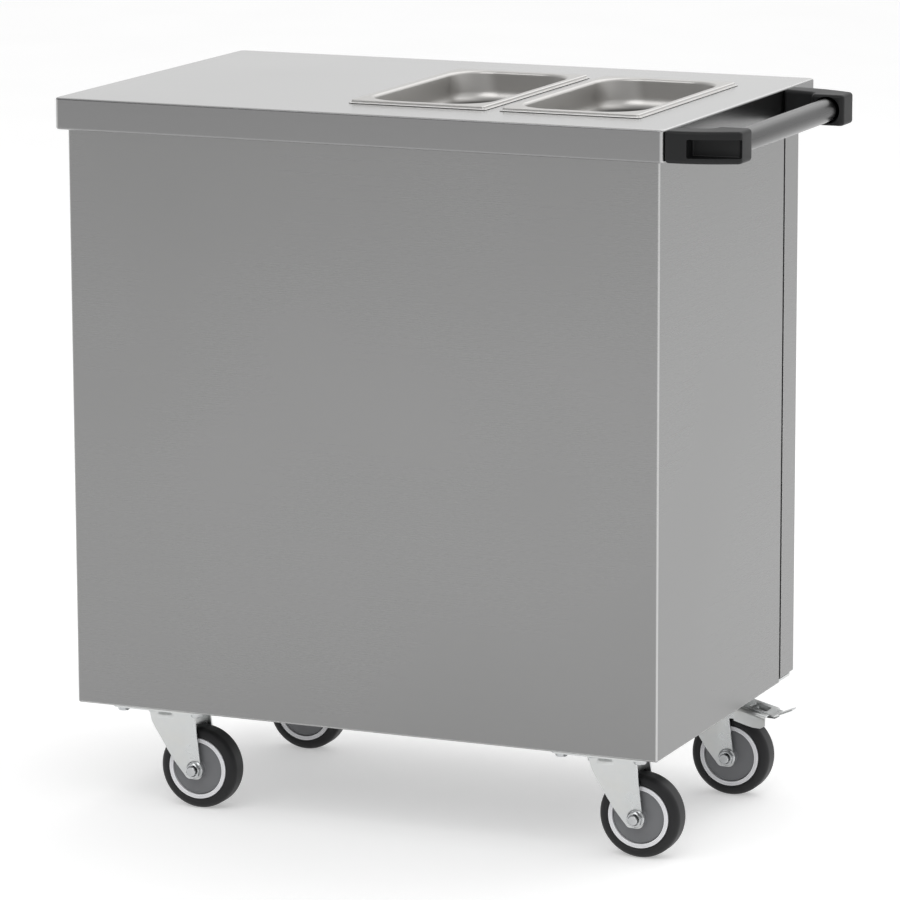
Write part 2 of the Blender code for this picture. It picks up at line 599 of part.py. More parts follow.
def door_pull(x):
    """An upright bow pull on a door's face."""
    face, middle, span = DOOR_OUT + GAP, 640 * MM, 64 * MM
    reach, thick, bend = 22 * MM, 4.5 * MM, 9 * MM
    bend_y = face + reach - thick - bend
    path = [(face, middle - span)]
    path += arc((bend_y, middle - span + bend), bend, -90, 0, 4)
    path += arc((bend_y, middle + span - bend), bend, 0, 90, 4)
    path += [(face, middle + span)]
    return rod([(x, y, z) for y, z in path], thick)


def build_hinges(side, hinge_edge, inward, axis):
    """Pivot brackets over and under a door, each with its own pin."""
    near = REAR + GAP
    arm, pin_length = 3.5 * MM, 14 * MM
    x0, x1 = sorted((hinge_edge + inward * 2 * MM, hinge_edge + inward * 19 * MM))
    for end, low, pin_way, upstand in (("top", DOOR_HIGH + arm, -1, 28 * MM),
                                       ("bottom", BODY_BOTTOM, 1, 5 * MM)):
        root = low + arm / 2
        bottom, top = sorted((root, root + pin_way * pin_length))
        plate = box((x0, near, low), (x1, axis[1] + 8 * MM, low + arm))
        back = box((x0, near, low), (x1, near + SHEET, low + upstand))
        pin = cylinder(PIN_R, (*axis, bottom), (*axis, top), sides=16)
        finish(add(plate, back, pin), "door_%s_hinge_%s" % (side, end), ZINC)


# ---- push handle ------------------------------------------------------------------
def bracket_outline():
    """Plan of the front bracket, from its root on the worktop's edge to its end."""
    root, end, boss = TOP_RIGHT + GAP, RIGHT + HANDLE_REACH, FRONT + BOSS_FACE
    bow, nose_r, heel_r, steps = 20 * MM, 5 * MM, 4 * MM, 8
    reach = end - nose_r - root
    shares = [i / steps for i in range(steps)]
    outer = [(root + reach * share, TOP_FRONT + bow * share ** 2.2) for share in shares]
    nose = arc((end - nose_r, TOP_FRONT + bow + nose_r), nose_r, -64, 0, 4)
    heel = arc((end - heel_r, boss - heel_r), heel_r, 0, 90, 3)
    inner = [(RIGHT + 57 * MM, boss), (RIGHT + 54 * MM, boss - 3 * MM), (RIGHT + 53 * MM, FRONT + 29 * MM),
             (RIGHT + 34 * MM, FRONT + 22 * MM), (root, FRONT + 15 * MM)]
    return outer + nose + heel + inner


def build_bracket():
    """The front bracket: a moulding with a shallow finger pocket and a socket for the tube."""
    boss, pocket_half = FRONT + BOSS_FACE, 11 * MM
    bracket = prism(bracket_outline(), LIP_BOTTOM + 0.5 * MM, WORKTOP_HEIGHT - 0.5 * MM)
    bevel(bracket, 4 * MM, 2, 50)
    pocket = box((TOP_RIGHT + 22 * MM, FRONT - PAST, HANDLE_Z - pocket_half),
                 (TOP_RIGHT + 72 * MM, FRONT + 15 * MM, HANDLE_Z + pocket_half))
    socket = cylinder(HANDLE_R + GAP, (HANDLE_X, boss - SOCKET, HANDLE_Z),
                      (HANDLE_X, boss + PAST, HANDLE_Z), "Y")
    return settle(cut(bracket, bevel(pocket, 1.5 * MM), socket))


def build_handle():
    """A stainless tube between two brackets that mirror each other."""
    wall, play = 1.5 * MM, 1 * MM
    front = build_bracket()
    rear = new_object(front.data.copy())
    rear.data.transform(Matrix.Translation((0, 2 * HANDLE_MIRROR, 0)) @ Matrix.Diagonal((1, -1, 1, 1)))
    rear.data.flip_normals()
    finish(front, "handle_bracket_front", BLACK)
    finish(rear, "handle_bracket_rear", BLACK)
    near = FRONT + BOSS_FACE - SOCKET + GAP
    far = 2 * HANDLE_MIRROR - near
    bar = cylinder(HANDLE_R, (HANDLE_X, near, HANDLE_Z), (HANDLE_X, far, HANDLE_Z), "Y", 32)
    bore = cylinder(HANDLE_R - wall, (HANDLE_X, near - play, HANDLE_Z), (HANDLE_X, far + play, HANDLE_Z), "Y")
    finish(cut(bar, bore), "handle_tube", STEEL)


# ---- casters ----------------------------------------------------------------------
def both_sides(outline, inner, outer):
    """Two plates of one outline, one on each side of the wheel."""
    return [prism(outline, inner, outer, "Y"), prism(outline, -outer, -inner, "Y")]


def caster_plate():
    """Top plate, upper ball race, king pin and four bolt heads."""
    into = PLATE_LOW + 1 * MM
    bolt_x, bolt_y = 49 * MM, 33 * MM
    plate = box((-PLATE_L / 2, -PLATE_W / 2, PLATE_LOW), (PLATE_L / 2, PLATE_W / 2, PLATE_HIGH), corner=6 * MM)
    race = cylinder(31 * MM, (0, 0, CROWN_HIGH + GAP), (0, 0, into))
    king = cylinder(7 * MM, (0, 0, CROWN_LOW - 3 * MM), (0, 0, into), sides=12)
    head = cylinder(13 * MM, (0, 0, CROWN_LOW - 4.5 * MM), (0, 0, CROWN_LOW - GAP), sides=16)
    bolts = [cylinder(7.5 * MM, (x, y, PLATE_LOW - 5 * MM), (x, y, into), sides=6)
             for x in (-bolt_x, bolt_x) for y in (-bolt_y, bolt_y)]
    return settle(add(plate, race, king, head, *bolts))


def caster_fork(braked):
    """Pressed fork: a round crown and two legs that taper to the axle. A brake adds two ears."""
    back, front, foot_r, foot_z = -22 * MM, 41 * MM, 7 * MM, WHEEL_R - 6 * MM
    crown = cylinder(33 * MM, (0, 0, CROWN_LOW), (0, 0, CROWN_HIGH))
    bridge = box((back, -LEG_OUT, CROWN_LOW), (front, LEG_OUT, CROWN_HIGH))
    leg = [(back, CROWN_HIGH)]
    leg += arc((TRAIL - 6 * MM, foot_z), foot_r, 200, 270, 4)
    leg += arc((TRAIL + 4 * MM, foot_z), foot_r, 270, 350, 4)
    leg += [(front, CROWN_HIGH)]
    add(crown, bridge, *both_sides(leg, LEG_IN, LEG_OUT))
    if braked:
        x, z = PEDAL_AXIS
        ear = [(front, z + 5 * MM), *arc(PEDAL_AXIS, 5 * MM, 90, -90, 6), (front + 1 * MM, z - 5 * MM)]
        add(crown, *both_sides(ear, LEG_IN, LEG_OUT))
        cut(crown, cylinder(3 * MM, (x, -PAST, z), (x, PAST, z), "Y", 12))
    cut(crown, cylinder(7.6 * MM, (0, 0, CROWN_LOW - PAST), (0, 0, CROWN_HIGH + PAST), sides=16))
    cut(crown, cylinder(AXLE_R + 1.5 * GAP, (TRAIL, -PAST, WHEEL_R), (TRAIL, PAST, WHEEL_R), "Y", 16))
    return settle(crown)


def wheel_turned(half, steps=28):
    """A wheel part turned about the axle, which runs along Y; half is its profile's outer half."""
    made = settle(turned(half + [(r, -w) for r, w in reversed(half)], steps))
    made.data.transform(Matrix.Rotation(math.pi / 2, 4, "X"))
    bm = bmesh.new()
    bm.from_mesh(made.data)
    bmesh.ops.recalc_face_normals(bm, faces=bm.faces)
    bm.to_mesh(made.data)
    bm.free()
    return made


def caster_tyre():
    half = WHEEL_W / 2
    return wheel_turned([(RIM_R + GAP, half), (45 * MM, half), (48.8 * MM, half - 5 * MM),
                         (WHEEL_R, half - 11 * MM)])


def caster_hub():
    face, boss_r = WHEEL_W / 2 - GAP, 10 * MM
    return wheel_turned([(AXLE_R + GAP, LEG_IN - GAP), (boss_r, LEG_IN - GAP), (boss_r, face), (RIM_R, face)])


def caster_axle():
    """Axle bolt: its head on one side, a collared nut and the thread's end on the other."""
    def along(radius, near, far, sides=16):
        return cylinder(radius, (TRAIL, near, WHEEL_R), (TRAIL, far, WHEEL_R), "Y", sides)
    shank = along(AXLE_R, -34 * MM, LEG_OUT + 4 * MM)
    collar = along(11.2 * MM, -25 * MM, -LEG_OUT - GAP, 20)
    nut = along(10.5 * MM, -31 * MM, -LEG_OUT - GAP, 6)
    head = along(10.5 * MM, LEG_OUT + GAP, LEG_OUT + 8 * MM, 6)
    return settle(add(shank, nut, collar, head))


def caster_pedal():
    """Foot brake: a cranked plate with a window, two cheeks and its own cross pin."""
    x, z = PEDAL_AXIS
    thick, half = 2.4 * MM, 18 * MM
    inner, outer = LEG_OUT + 0.6 * MM, LEG_OUT + 2.8 * MM
    bends = [(49 * MM, 115 * MM), (98 * MM, 104.5 * MM), (118 * MM, 113 * MM)]
    plate = prism(bends + [(px, pz - thick) for px, pz in reversed(bends)], -half, half, "Y")
    shoulder = [(49 * MM, 114.9 * MM), (90 * MM, 104.9 * MM), (90 * MM, 102.7 * MM), (49 * MM, 112.7 * MM)]
    cheek = [(50 * MM, 114.5 * MM), (90 * MM, 104.8 * MM), (90 * MM, 92 * MM), (80 * MM, 91 * MM),
             (51 * MM, 98 * MM)]
    pin = cylinder(2.6 * MM, (x, -outer - 1 * MM, z), (x, outer + 1 * MM, z), "Y", 12)
    window = box((64 * MM, -11 * MM, 92 * MM), (86 * MM, 11 * MM, 120 * MM))
    add(plate, prism(shoulder, -outer, outer, "Y"), *both_sides(cheek, inner, outer), pin)
    return settle(cut(plate, window))


def build_casters():
    """Four casters that share their meshes. The rear two have a foot brake."""
    meshes = {"plate": caster_plate(), "tyre": caster_tyre(), "hub": caster_hub(), "axle": caster_axle(),
              "pedal": caster_pedal(), "fork": caster_fork(False), "braked_fork": caster_fork(True)}
    pedal_at = (PEDAL_AXIS[0], 0, PEDAL_AXIS[1])
    for row, y in CASTER_Y.items():
        braked = row == "rear"
        for side, x in CASTER_X.items():
            name = "caster_%s_%s_" % (row, side)
            swivel = pivot(name + "swivel", (x, y, 0))
            axle = pivot(name + "wheel", (TRAIL, 0, WHEEL_R), swivel)
            copy_part(meshes["plate"].data, name + "plate", ZINC, None, (x, y, 0))
            copy_part(meshes["braked_fork" if braked else "fork"].data, name + "fork", ZINC, swivel)
            copy_part(meshes["axle"].data, name + "axle", ZINC, swivel)
            copy_part(meshes["tyre"].data, name + "tyre", RUBBER, axle)
            copy_part(meshes["hub"].data, name + "hub", GREY, axle)
            if braked:
                foot = pivot(name + "pedal_pivot", pedal_at, swivel)
                copy_part(meshes["pedal"].data, name + "pedal", ZINC, foot, [-c for c in pedal_at])
    for spare in meshes.values():
        bpy.data.objects.remove(spare)


build_worktop()
build_casing()
build_base()
build_rear_frame()
build_shelf()
build_pans()
build_tank()
build_heater()
build_jacket()
build_drain()
build_panel()
build_knob()
build_switch()
build_lamp()
build_gland()
build_door("left", LEFT, 1)
build_door("right", RIGHT, -1)
build_handle()
build_casters()
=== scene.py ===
import json
import math

import bmesh
import bpy
from mathutils import Matrix, Vector


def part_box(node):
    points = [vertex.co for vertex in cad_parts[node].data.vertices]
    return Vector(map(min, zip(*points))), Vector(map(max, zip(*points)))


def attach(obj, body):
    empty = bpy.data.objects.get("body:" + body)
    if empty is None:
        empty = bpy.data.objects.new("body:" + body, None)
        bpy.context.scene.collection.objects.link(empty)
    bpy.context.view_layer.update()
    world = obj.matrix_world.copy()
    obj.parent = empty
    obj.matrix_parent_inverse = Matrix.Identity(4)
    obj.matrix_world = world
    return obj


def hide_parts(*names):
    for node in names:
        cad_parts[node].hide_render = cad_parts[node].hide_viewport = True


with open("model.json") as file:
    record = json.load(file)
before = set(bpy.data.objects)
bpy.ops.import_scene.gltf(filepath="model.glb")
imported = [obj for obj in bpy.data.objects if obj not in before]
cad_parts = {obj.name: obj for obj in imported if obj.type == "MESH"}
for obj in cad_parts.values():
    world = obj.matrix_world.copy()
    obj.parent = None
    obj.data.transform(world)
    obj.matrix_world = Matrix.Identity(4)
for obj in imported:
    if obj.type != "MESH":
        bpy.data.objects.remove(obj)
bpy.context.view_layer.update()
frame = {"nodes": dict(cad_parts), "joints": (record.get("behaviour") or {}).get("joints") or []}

MM = 0.001
SHEET = 1.5 * MM
SHARP = math.radians(38)
JOINTS = {joint["name"]: joint for joint in frame["joints"]}
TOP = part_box("worktop")
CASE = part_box("casing")


def middle(name):
    """Centre of a node's box."""
    return [(near + far) / 2 for near, far in zip(*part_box(name))]


# ---- outlines ---------------------------------------------------------------------
def mm(*points, base=0.0):
    """Points given in millimetres, the second value of each measured from base."""
    return [(first * MM, base + second * MM) for first, second in points]


def arc(centre, radius, start, end, steps):
    """Points along an arc, both ends included, angles in degrees."""
    turns = [math.radians(start + (end - start) * i / steps) for i in range(steps + 1)]
    return [(centre[0] + radius * math.cos(t), centre[1] + radius * math.sin(t)) for t in turns]


def circle(centre, radius):
    """24 points, with the start not repeated at the end."""
    return arc(centre, radius, 0, 345, 23)


def rounded_loop(low, high, radius, steps=8):
    """Counter-clockwise outline of a rectangle with round corners."""
    r = max(radius, 0.2 * MM)
    corners = (((high[0] - r, low[1] + r), -90), ((high[0] - r, high[1] - r), 0),
               ((low[0] + r, high[1] - r), 90), ((low[0] + r, low[1] + r), 180))
    return [point for centre, start in corners for point in arc(centre, r, start, start + 90, steps)]


# How a ring's two flat values and its height become a place, by the way the ring faces.
FACING = {"up": lambda x, y, z: (x, y, z), "rear": lambda x, z, y: (x, y, z),
          "left": lambda y, z, x: (x, y, z)}


def inset_rings(low, high, section, facing, steps=8):
    """Rings of a rounded rectangle: one for each (inset, height, corner radius) of the section."""
    rings = []
    for inset, height, radius in section:
        near, far = [value + inset for value in low], [value - inset for value in high]
        loop = rounded_loop(near, far, radius, steps)
        rings.append([FACING[facing](u, v, height) for u, v in loop])
    return rings


# ---- meshes -----------------------------------------------------------------------
def configured(target, **settings):
    for key, value in settings.items():
        setattr(target, key, value)
    return target


def linked(name, data):
    """A new object in the scene."""
    made = bpy.data.objects.new(name, data)
    bpy.context.scene.collection.objects.link(made)
    return made


def drawn(holder, *tools):
    """The mesh that an object shows. The object and its tools are removed."""
    graph = bpy.context.evaluated_depsgraph_get()
    mesh = bpy.data.meshes.new_from_object(holder.evaluated_get(graph), depsgraph=graph)
    for each in (holder, *tools):
        bpy.data.objects.remove(each)
    return mesh


def to_mesh(bm, recalculate=True):
    if recalculate:
        bmesh.ops.recalc_face_normals(bm, faces=bm.faces)
    mesh = bpy.data.meshes.new("shape")
    bm.to_mesh(mesh)
    bm.free()
    return mesh


def loft(rings, first_cap=True, last_cap=True, closed=True, looped=False, recalculate=True):
    """A skin over rings that all have the same number of points. Closed joins each ring's last
    point to its first, looped joins the last ring to the first."""
    bm = bmesh.new()
    rows = [[bm.verts.new(point) for point in ring] for ring in rings]
    count = len(rings[0])
    for near, far in zip(rows, rows[1:] + rows[:looped]):
        for i in range(count if closed else count - 1):
            j = (i + 1) % count
            bm.faces.new((near[i], near[j], far[j], far[i]))
    if first_cap:
        bm.faces.new(rows[0][::-1])
    if last_cap:
        bm.faces.new(rows[-1])
    return to_mesh(bm, recalculate)


def band(rings):
    """A skin over rings that closes on itself both ways."""
    return loft(rings, first_cap=False, last_cap=False, looped=True)


def open_sheet(rings):
    """A skin over rings that don't close, without caps."""
    return loft(rings, first_cap=False, last_cap=False, closed=False, recalculate=False)


AXES = {"X": lambda a, b, h: (h, a, b), "Y": lambda a, b, h: (b, h, a), "Z": lambda a, b, h: (a, b, h)}


def turned(profile, axis="Z", steps=64, ring=False):
    """A profile of (radius, along) turned about an axis. A ring's profile closes on itself."""
    turns = [2 * math.pi * i / steps for i in range(steps)]
    rings = [[AXES[axis](r * math.cos(t), r * math.sin(t), along) for t in turns] for r, along in profile]
    return band(rings) if ring else loft(rings)


def prism(outline, low, high, axis="Z"):
    """An outline of (a, b) points pushed from low to high along an axis."""
    return loft([[AXES[axis](a, b, height) for a, b in outline] for height in (low, high)])


def block(low, high):
    bm = bmesh.new()
    bmesh.ops.create_cube(bm, size=1)
    for vert in bm.verts:
        vert.co = [low[i] + (vert.co[i] + 0.5) * (high[i] - low[i]) for i in range(3)]
    return to_mesh(bm)


def modified(mesh, kind, others=(), **settings):
    """The mesh after one modifier, or after one Boolean for each of the others."""
    holder = linked("holder", mesh)
    tools = [linked("tool", other) for other in others]
    for tool in tools or (None,):
        step = configured(holder.modifiers.new(kind, kind), **settings)
        if tool:
            step.object = tool
    return drawn(holder, *tools)


def cut(mesh, *others):
    return modified(mesh, "BOOLEAN", others, operation="DIFFERENCE", solver="EXACT")


def joined(mesh, *others):
    return modified(mesh, "BOOLEAN", others, operation="UNION", solver="EXACT")


def merged(meshes):
    """Separate shapes kept side by side in one mesh."""
    bm = bmesh.new()
    for mesh in meshes:
        bm.from_mesh(mesh)
    return to_mesh(bm, recalculate=False)


def rounded(mesh, width, segments=3, angle=35):
    """Edges sharper than an angle in degrees are rounded."""
    return modified(mesh, "BEVEL", width=width, segments=segments, limit_method="ANGLE",
                    angle_limit=math.radians(angle))


def thickened(mesh, thickness):
    return modified(mesh, "SOLIDIFY", thickness=thickness, offset=-1, use_even_offset=True)


def moved(mesh, matrix):
    made = mesh.copy()
    made.transform(matrix)
    if matrix.determinant() < 0:
        made.flip_normals()
    return made


def placed(mesh, x=0.0, y=0.0, z=0.0):
    return moved(mesh, Matrix.Translation((x, y, z)))


def bar(points, radius):
    """A round bar along a path, with closed ends."""
    curve = configured(bpy.data.curves.new("bar", "CURVE"), dimensions="3D", bevel_depth=radius,
                       bevel_resolution=8, use_fill_caps=True)
    spline = curve.splines.new("POLY")
    spline.points.add(len(points) - 1)
    for point, place in zip(spline.points, points):
        point.co = (*place, 1)
    bm = bmesh.new()
    bm.from_mesh(drawn(linked("bar", curve)))
    bmesh.ops.remove_doubles(bm, verts=bm.verts, dist=0.01 * MM)
    return to_mesh(bm)


def piece(name, mesh, look, body, slot, *nodes, at=(0, 0, 0)):
    """A visible piece that rides on a body and stands for CAD nodes. The slot is not used."""
    mesh.materials.clear()
    mesh.materials.append(look)
    mesh.shade_smooth()
    mesh.set_sharp_from_angle(angle=SHARP)
    made = linked(name, mesh)
    made.location = at
    configured(made.modifiers.new("even_normals", "WEIGHTED_NORMAL"), keep_sharp=True)
    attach(made, body)
    if nodes:
        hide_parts(*nodes)


# ---- materials --------------------------------------------------------------------
def node(tree, kind, links=None, **settings):
    made = configured(tree.nodes.new("ShaderNode" + kind), **settings)
    for socket, source in (links or {}).items():
        if isinstance(source, bpy.types.NodeSocket):
            tree.links.new(source, made.inputs[socket])
        else:
            made.inputs[socket].default_value = source
    return made


def blank(name, metallic, roughness, colour, **constants):
    """A material with constants on its shader, its node tree and the shader."""
    made = bpy.data.materials.new(name)
    made.use_nodes = True
    shader = made.node_tree.nodes["Principled BSDF"]
    shader.inputs["Metallic"].default_value = metallic
    shader.inputs["Roughness"].default_value = roughness
    shader.inputs["Base Color"].default_value = (*colour, 1)
    for socket, value in constants.items():
        shader.inputs[socket.replace("_", " ")].default_value = value
    return made, made.node_tree, shader


def noise(tree, where, scale, detail):
    return node(tree, "TexNoise", {"Vector": where, "Scale": scale, "Detail": detail}).outputs["Fac"]


def spread(tree, value, low, high, start=0.3, end=0.7):
    """A value from start to end mapped to low to high. Noise lies mostly between 0.3 and 0.7."""
    return node(tree, "MapRange", {"Value": value, "From Min": start, "From Max": end,
                                   "To Min": low, "To Max": high}).outputs["Result"]


def maths(tree, operation, *values):
    return node(tree, "Math", dict(enumerate(values)), operation=operation).outputs[0]


def mixed(tree, factor, *pair):
    """Two colours, each one a socket or three numbers, mixed by a factor."""
    first, second = [each if isinstance(each, bpy.types.NodeSocket) else (*each, 1) for each in pair]
    return node(tree, "Mix", {"Factor": factor, "A": first, "B": second}, data_type="RGBA").outputs["Result"]


def scaled(tone, factor):
    return [channel * factor for channel in tone]


def bumped(tree, shader, height, strength, distance):
    made = node(tree, "Bump", {"Height": height, "Strength": strength, "Distance": distance})
    tree.links.new(made.outputs["Normal"], shader.inputs["Normal"])


def edges(tree):
    """0.8 on edges and 0 elsewhere: where a softened normal leaves the true one. It marks rubbed edges, and
    on brushed steel it carries a painted highlight.
    """
    soft = node(tree, "Bevel", {"Radius": 1.5 * MM}, samples=4).outputs["Normal"]
    true = node(tree, "NewGeometry").outputs["Normal"]
    match = node(tree, "VectorMath", {0: soft, 1: true}, operation="DOT_PRODUCT").outputs["Value"]
    return spread(tree, match, 0.0, 0.8, 0.998, 0.93)


def steel(name, tone, roughness, painted_level_tone=None, variation=0.012, relief=0.012, sunk=None, bend_highlight=False):
    """Brushed sheet. The grain runs level on upright faces and along X on level ones. A level face can
    have a tone of its own, everywhere or only below the height given as sunk: painted light on a top,
    painted shade and dark reflection on a pan's floor. Upright bent corners can get a painted highlight."""
    made, tree, shader = blank(name, 1.0, roughness, tone)
    where = node(tree, "TexCoord").outputs
    slant = node(tree, "SeparateXYZ", {"Vector": where["Normal"]}).outputs
    level = spread(tree, maths(tree, "ABSOLUTE", slant["Z"]), 0.0, 1.0, 0.55, 0.85)
    along, across = 3.0, 1400.0
    stretch = node(tree, "Mix", {"Factor": level, "A": (along, along, across), "B": (along, across, across)},
                   data_type="VECTOR").outputs["Result"]
    grain_at = node(tree, "VectorMath", {0: where["Object"], 1: stretch}, operation="MULTIPLY").outputs[0]
    grain = noise(tree, grain_at, 1.0, 3.0)
    cloud = noise(tree, where["Object"], 2.5, 2.0)
    streaks = spread(tree, grain, 0, 1)
    colour = mixed(tree, streaks, scaled(tone, 1 - variation), scaled(tone, 1 + variation))
    if sunk is not None:
        height = node(tree, "SeparateXYZ", {"Vector": where["Object"]}).outputs["Z"]
        level = maths(tree, "MULTIPLY", level, spread(tree, height, 1.0, 0.0, sunk - 4 * MM, sunk))
    # Level faces take a tone of their own: painted light on the worktop's top, painted shade and dark
    # reflection on a pan's floor.
    if painted_level_tone:
        flat = mixed(tree, streaks, scaled(painted_level_tone, 1 - variation), scaled(painted_level_tone, 1 + variation))
        colour = mixed(tree, level, colour, flat)
    wear_and_highlight = edges(tree)
    if bend_highlight:
        # Upright bent corners, where the normal lies between X and Y, are lightened: a painted highlight.
        bend_highlight_mask = maths(tree, "ABSOLUTE", maths(tree, "MULTIPLY", slant["X"], slant["Y"]))
        wear_and_highlight = maths(tree, "MAXIMUM", wear_and_highlight, spread(tree, bend_highlight_mask, 0.0, 0.55, 0.2, 0.42))
    # Edges and bent corners go up to three times the tone: a painted highlight, with some rubbing.
    lighter_edges = mixed(tree, wear_and_highlight, colour, [min(0.9, channel) for channel in scaled(tone, 3.0)])
    tree.links.new(lighter_edges, shader.inputs["Base Color"])
    gloss = maths(tree, "ADD", spread(tree, grain, -0.01, 0.01), spread(tree, cloud, -0.02, 0.02))
    tree.links.new(maths(tree, "ADD", gloss, roughness), shader.inputs["Roughness"])
    bumped(tree, shader, grain, relief, 0.05 * MM)
    return made


def plated(name, tone, tint, roughness):
    """Plated or bare bright metal: a second tint in patches, with fine pitting."""
    made, tree, shader = blank(name, 1.0, roughness, tone)
    where = node(tree, "TexCoord").outputs["Object"]
    patch = noise(tree, where, 38.0, 3.0)
    speck = noise(tree, where, 900.0, 2.0)
    colour = mixed(tree, spread(tree, patch, 0, 1), tone, tint)
    lighter_edges = mixed(tree, edges(tree), colour, [min(1, channel) for channel in scaled(tone, 1.2)])
    tree.links.new(lighter_edges, shader.inputs["Base Color"])
    tree.links.new(spread(tree, patch, roughness - 0.06, roughness + 0.08), shader.inputs["Roughness"])
    bumped(tree, shader, speck, 0.05, 0.1 * MM)
    return made


def moulded(name, tone, roughness, texture=1800.0, relief=0.12, **constants):
    """Moulded plastic or rubber: fine spark-eroded texture, slightly polished on its edges."""
    made, tree, shader = blank(name, 0.0, roughness, tone, **constants)
    where = node(tree, "TexCoord").outputs["Object"]
    grain = noise(tree, where, texture, 3.0)
    cloud = noise(tree, where, 14.0, 3.0)
    colour = mixed(tree, spread(tree, cloud, 0, 1), scaled(tone, 0.9), scaled(tone, 1.12))
    tree.links.new(mixed(tree, edges(tree), colour, scaled(tone, 1.5)), shader.inputs["Base Color"])
    tree.links.new(spread(tree, cloud, roughness - 0.05, roughness + 0.05), shader.inputs["Roughness"])
    bumped(tree, shader, grain, relief, 0.15 * MM)
    return made


# The top's level faces get a tone more than twice as light as its lip: painted light.
TOP_STEEL = steel("brushed_top", (0.235, 0.235, 0.235), 0.24, (0.52, 0.52, 0.518), bend_highlight=True)
# The casing and the top get a painted highlight on their upright bent corners.
CASE_STEEL = steel("brushed_case", (0.255, 0.255, 0.254), 0.28, variation=0.006, relief=0.002, bend_highlight=True)
INNER_STEEL = steel("plain_inner", (0.42, 0.42, 0.42), 0.36)
# A pan's level faces below the rim get a near-black tone: painted shade and dark reflection on its floor.
PAN_STEEL = steel("satin_pan", (0.54, 0.53, 0.515), 0.36, (0.10, 0.098, 0.095), variation=0.008,
                  relief=0.006, sunk=TOP[1].z - 6 * MM)
# The polished tube's tone is set near black: painted dark reflection.
DARKENED_TUBE_STEEL = steel("polished_tube_painted_dark", (0.062, 0.062, 0.062), 0.24, variation=0.01, relief=0.01)
ZINC = plated("zinc_plate", (0.57, 0.585, 0.59), (0.63, 0.635, 0.62), 0.30)
BRIGHT = plated("bright_bolt", (0.46, 0.47, 0.48), (0.54, 0.55, 0.55), 0.18)
HANDLE = moulded("anthracite_plastic", (0.010, 0.0104, 0.0108), 0.50, Specular_IOR_Level=0.26)
BLACK = moulded("black_plastic", (0.018, 0.018, 0.019), 0.42)
TYRE = moulded("tyre_rubber", (0.011, 0.011, 0.012), 0.50, 700.0, 0.2, Specular_IOR_Level=0.35)
HUB = moulded("hub_grey", (0.15, 0.153, 0.16), 0.50)
RIM = moulded("rim_light_grey", (0.72, 0.72, 0.74), 0.45)
SEAL = moulded("seal_rubber", (0.055, 0.055, 0.06), 0.65)
RED = moulded("red_plastic", (0.50, 0.025, 0.018), 0.30)
WHITE = moulded("printed_white", (0.75, 0.75, 0.74), 0.5)
BRASS = plated("brass", (0.62, 0.46, 0.21), (0.55, 0.40, 0.18), 0.32)
SHEATH = steel("element_sheath", (0.24, 0.225, 0.21), 0.42, variation=0.1, relief=0.1)


# ---- worktop and pans -------------------------------------------------------------
RIM_OVERLAP = 9 * MM
MOUTH_R = 48 * MM


def build_worktop():
    """One folded sheet: top, bent lip and a short hem, with two holes for the pans."""
    bend, corner, hem = 2.6 * MM, 7 * MM, 8 * MM
    low, high = TOP
    inner = bend - SHEET
    profile = [(SHEET + inner, high.z - SHEET)]
    profile += arc((SHEET + inner, high.z - SHEET - inner), inner, 90, 180, 3)
    profile += arc((SHEET + inner, low.z + SHEET + inner), inner, 180, 270, 3)
    profile += [(hem, low.z + SHEET), (hem, low.z)]
    profile += arc((bend, low.z + bend), bend, 270, 180, 6)
    profile += arc((bend, high.z - bend), bend, 180, 90, 6)
    section = [(inset, z, corner - 0.8 * inset) for inset, z in profile]
    sheet = loft(inset_rings(low, high, section, "up"))
    holes = []
    for side in ("left", "right"):
        near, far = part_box("pan_" + side)
        hole = rounded_loop((near.x + RIM_OVERLAP, near.y + RIM_OVERLAP),
                            (far.x - RIM_OVERLAP, far.y - RIM_OVERLAP), MOUTH_R, 12)
        holes.append(prism(hole, low.z + 20 * MM, high.z + 20 * MM))
    piece("worktop_sheet", cut(sheet, *holes), TOP_STEEL, "cabinet", "worktop_steel", "worktop")


def build_pan(side):
    """Pressed pan: stepped flat rim, round mouth, straight walls and a wide heel."""
    low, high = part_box("pan_" + side)
    thickness, heel, edge, step = 0.9 * MM, 17 * MM, 4 * MM, 1.4 * MM
    mouth, wall, wall_r = 13 * MM, 14.5 * MM, 46 * MM
    foot, floor = TOP[1].z + 1.25 * MM, low.z + thickness + 0.1 * MM
    section = [(inset, z, 3 * MM)
               for inset, z in mm((0, -0.5), (0.3, 0), (2, 0), (2.5, 0.3), (2.8, 1.2), base=foot)]
    section += [(inset, z, 3.6 * MM) for inset, z in arc((4.2 * MM, high.z - step), step, 180, 90, 5)]
    section += [(inset, z, MOUTH_R + (RIM_OVERLAP - inset))
                for inset, z in arc((mouth - edge, high.z - edge), edge, 90, 0, 7)]
    section += [(inset, z, wall_r - (inset - wall))
                for inset, z in arc((wall + heel, floor + heel), heel, 180, 270, 10)]
    sheet = loft(inset_rings(low, high, section, "up", 12), first_cap=False, recalculate=False)
    piece("pan_%s_pressing" % side, thickened(sheet, thickness), PAN_STEEL, "pan_" + side, "pan_steel",
          "pan_" + side)


# ---- cabinet ----------------------------------------------------------------------
def wall_path(inset, bend):
    """Plan of the casing: rear return, left wall, front, right wall, rear return."""
    turn, small = 20 * MM, 1.6 * MM
    rear = CASE[1].y - inset
    left, right, front = CASE[0].x + inset, CASE[1].x - inset, CASE[0].y + inset
    path = [(left + turn, rear)] + arc((left + small, rear - small), small, 90, 180, 4)
    path += arc((left + bend, front + bend), bend, 180, 270, 8)
    path += arc((right - bend, front + bend), bend, 270, 360, 8)
    path += arc((right - small, rear - small), small, 0, 90, 4) + [(right - turn, rear)]
    return path


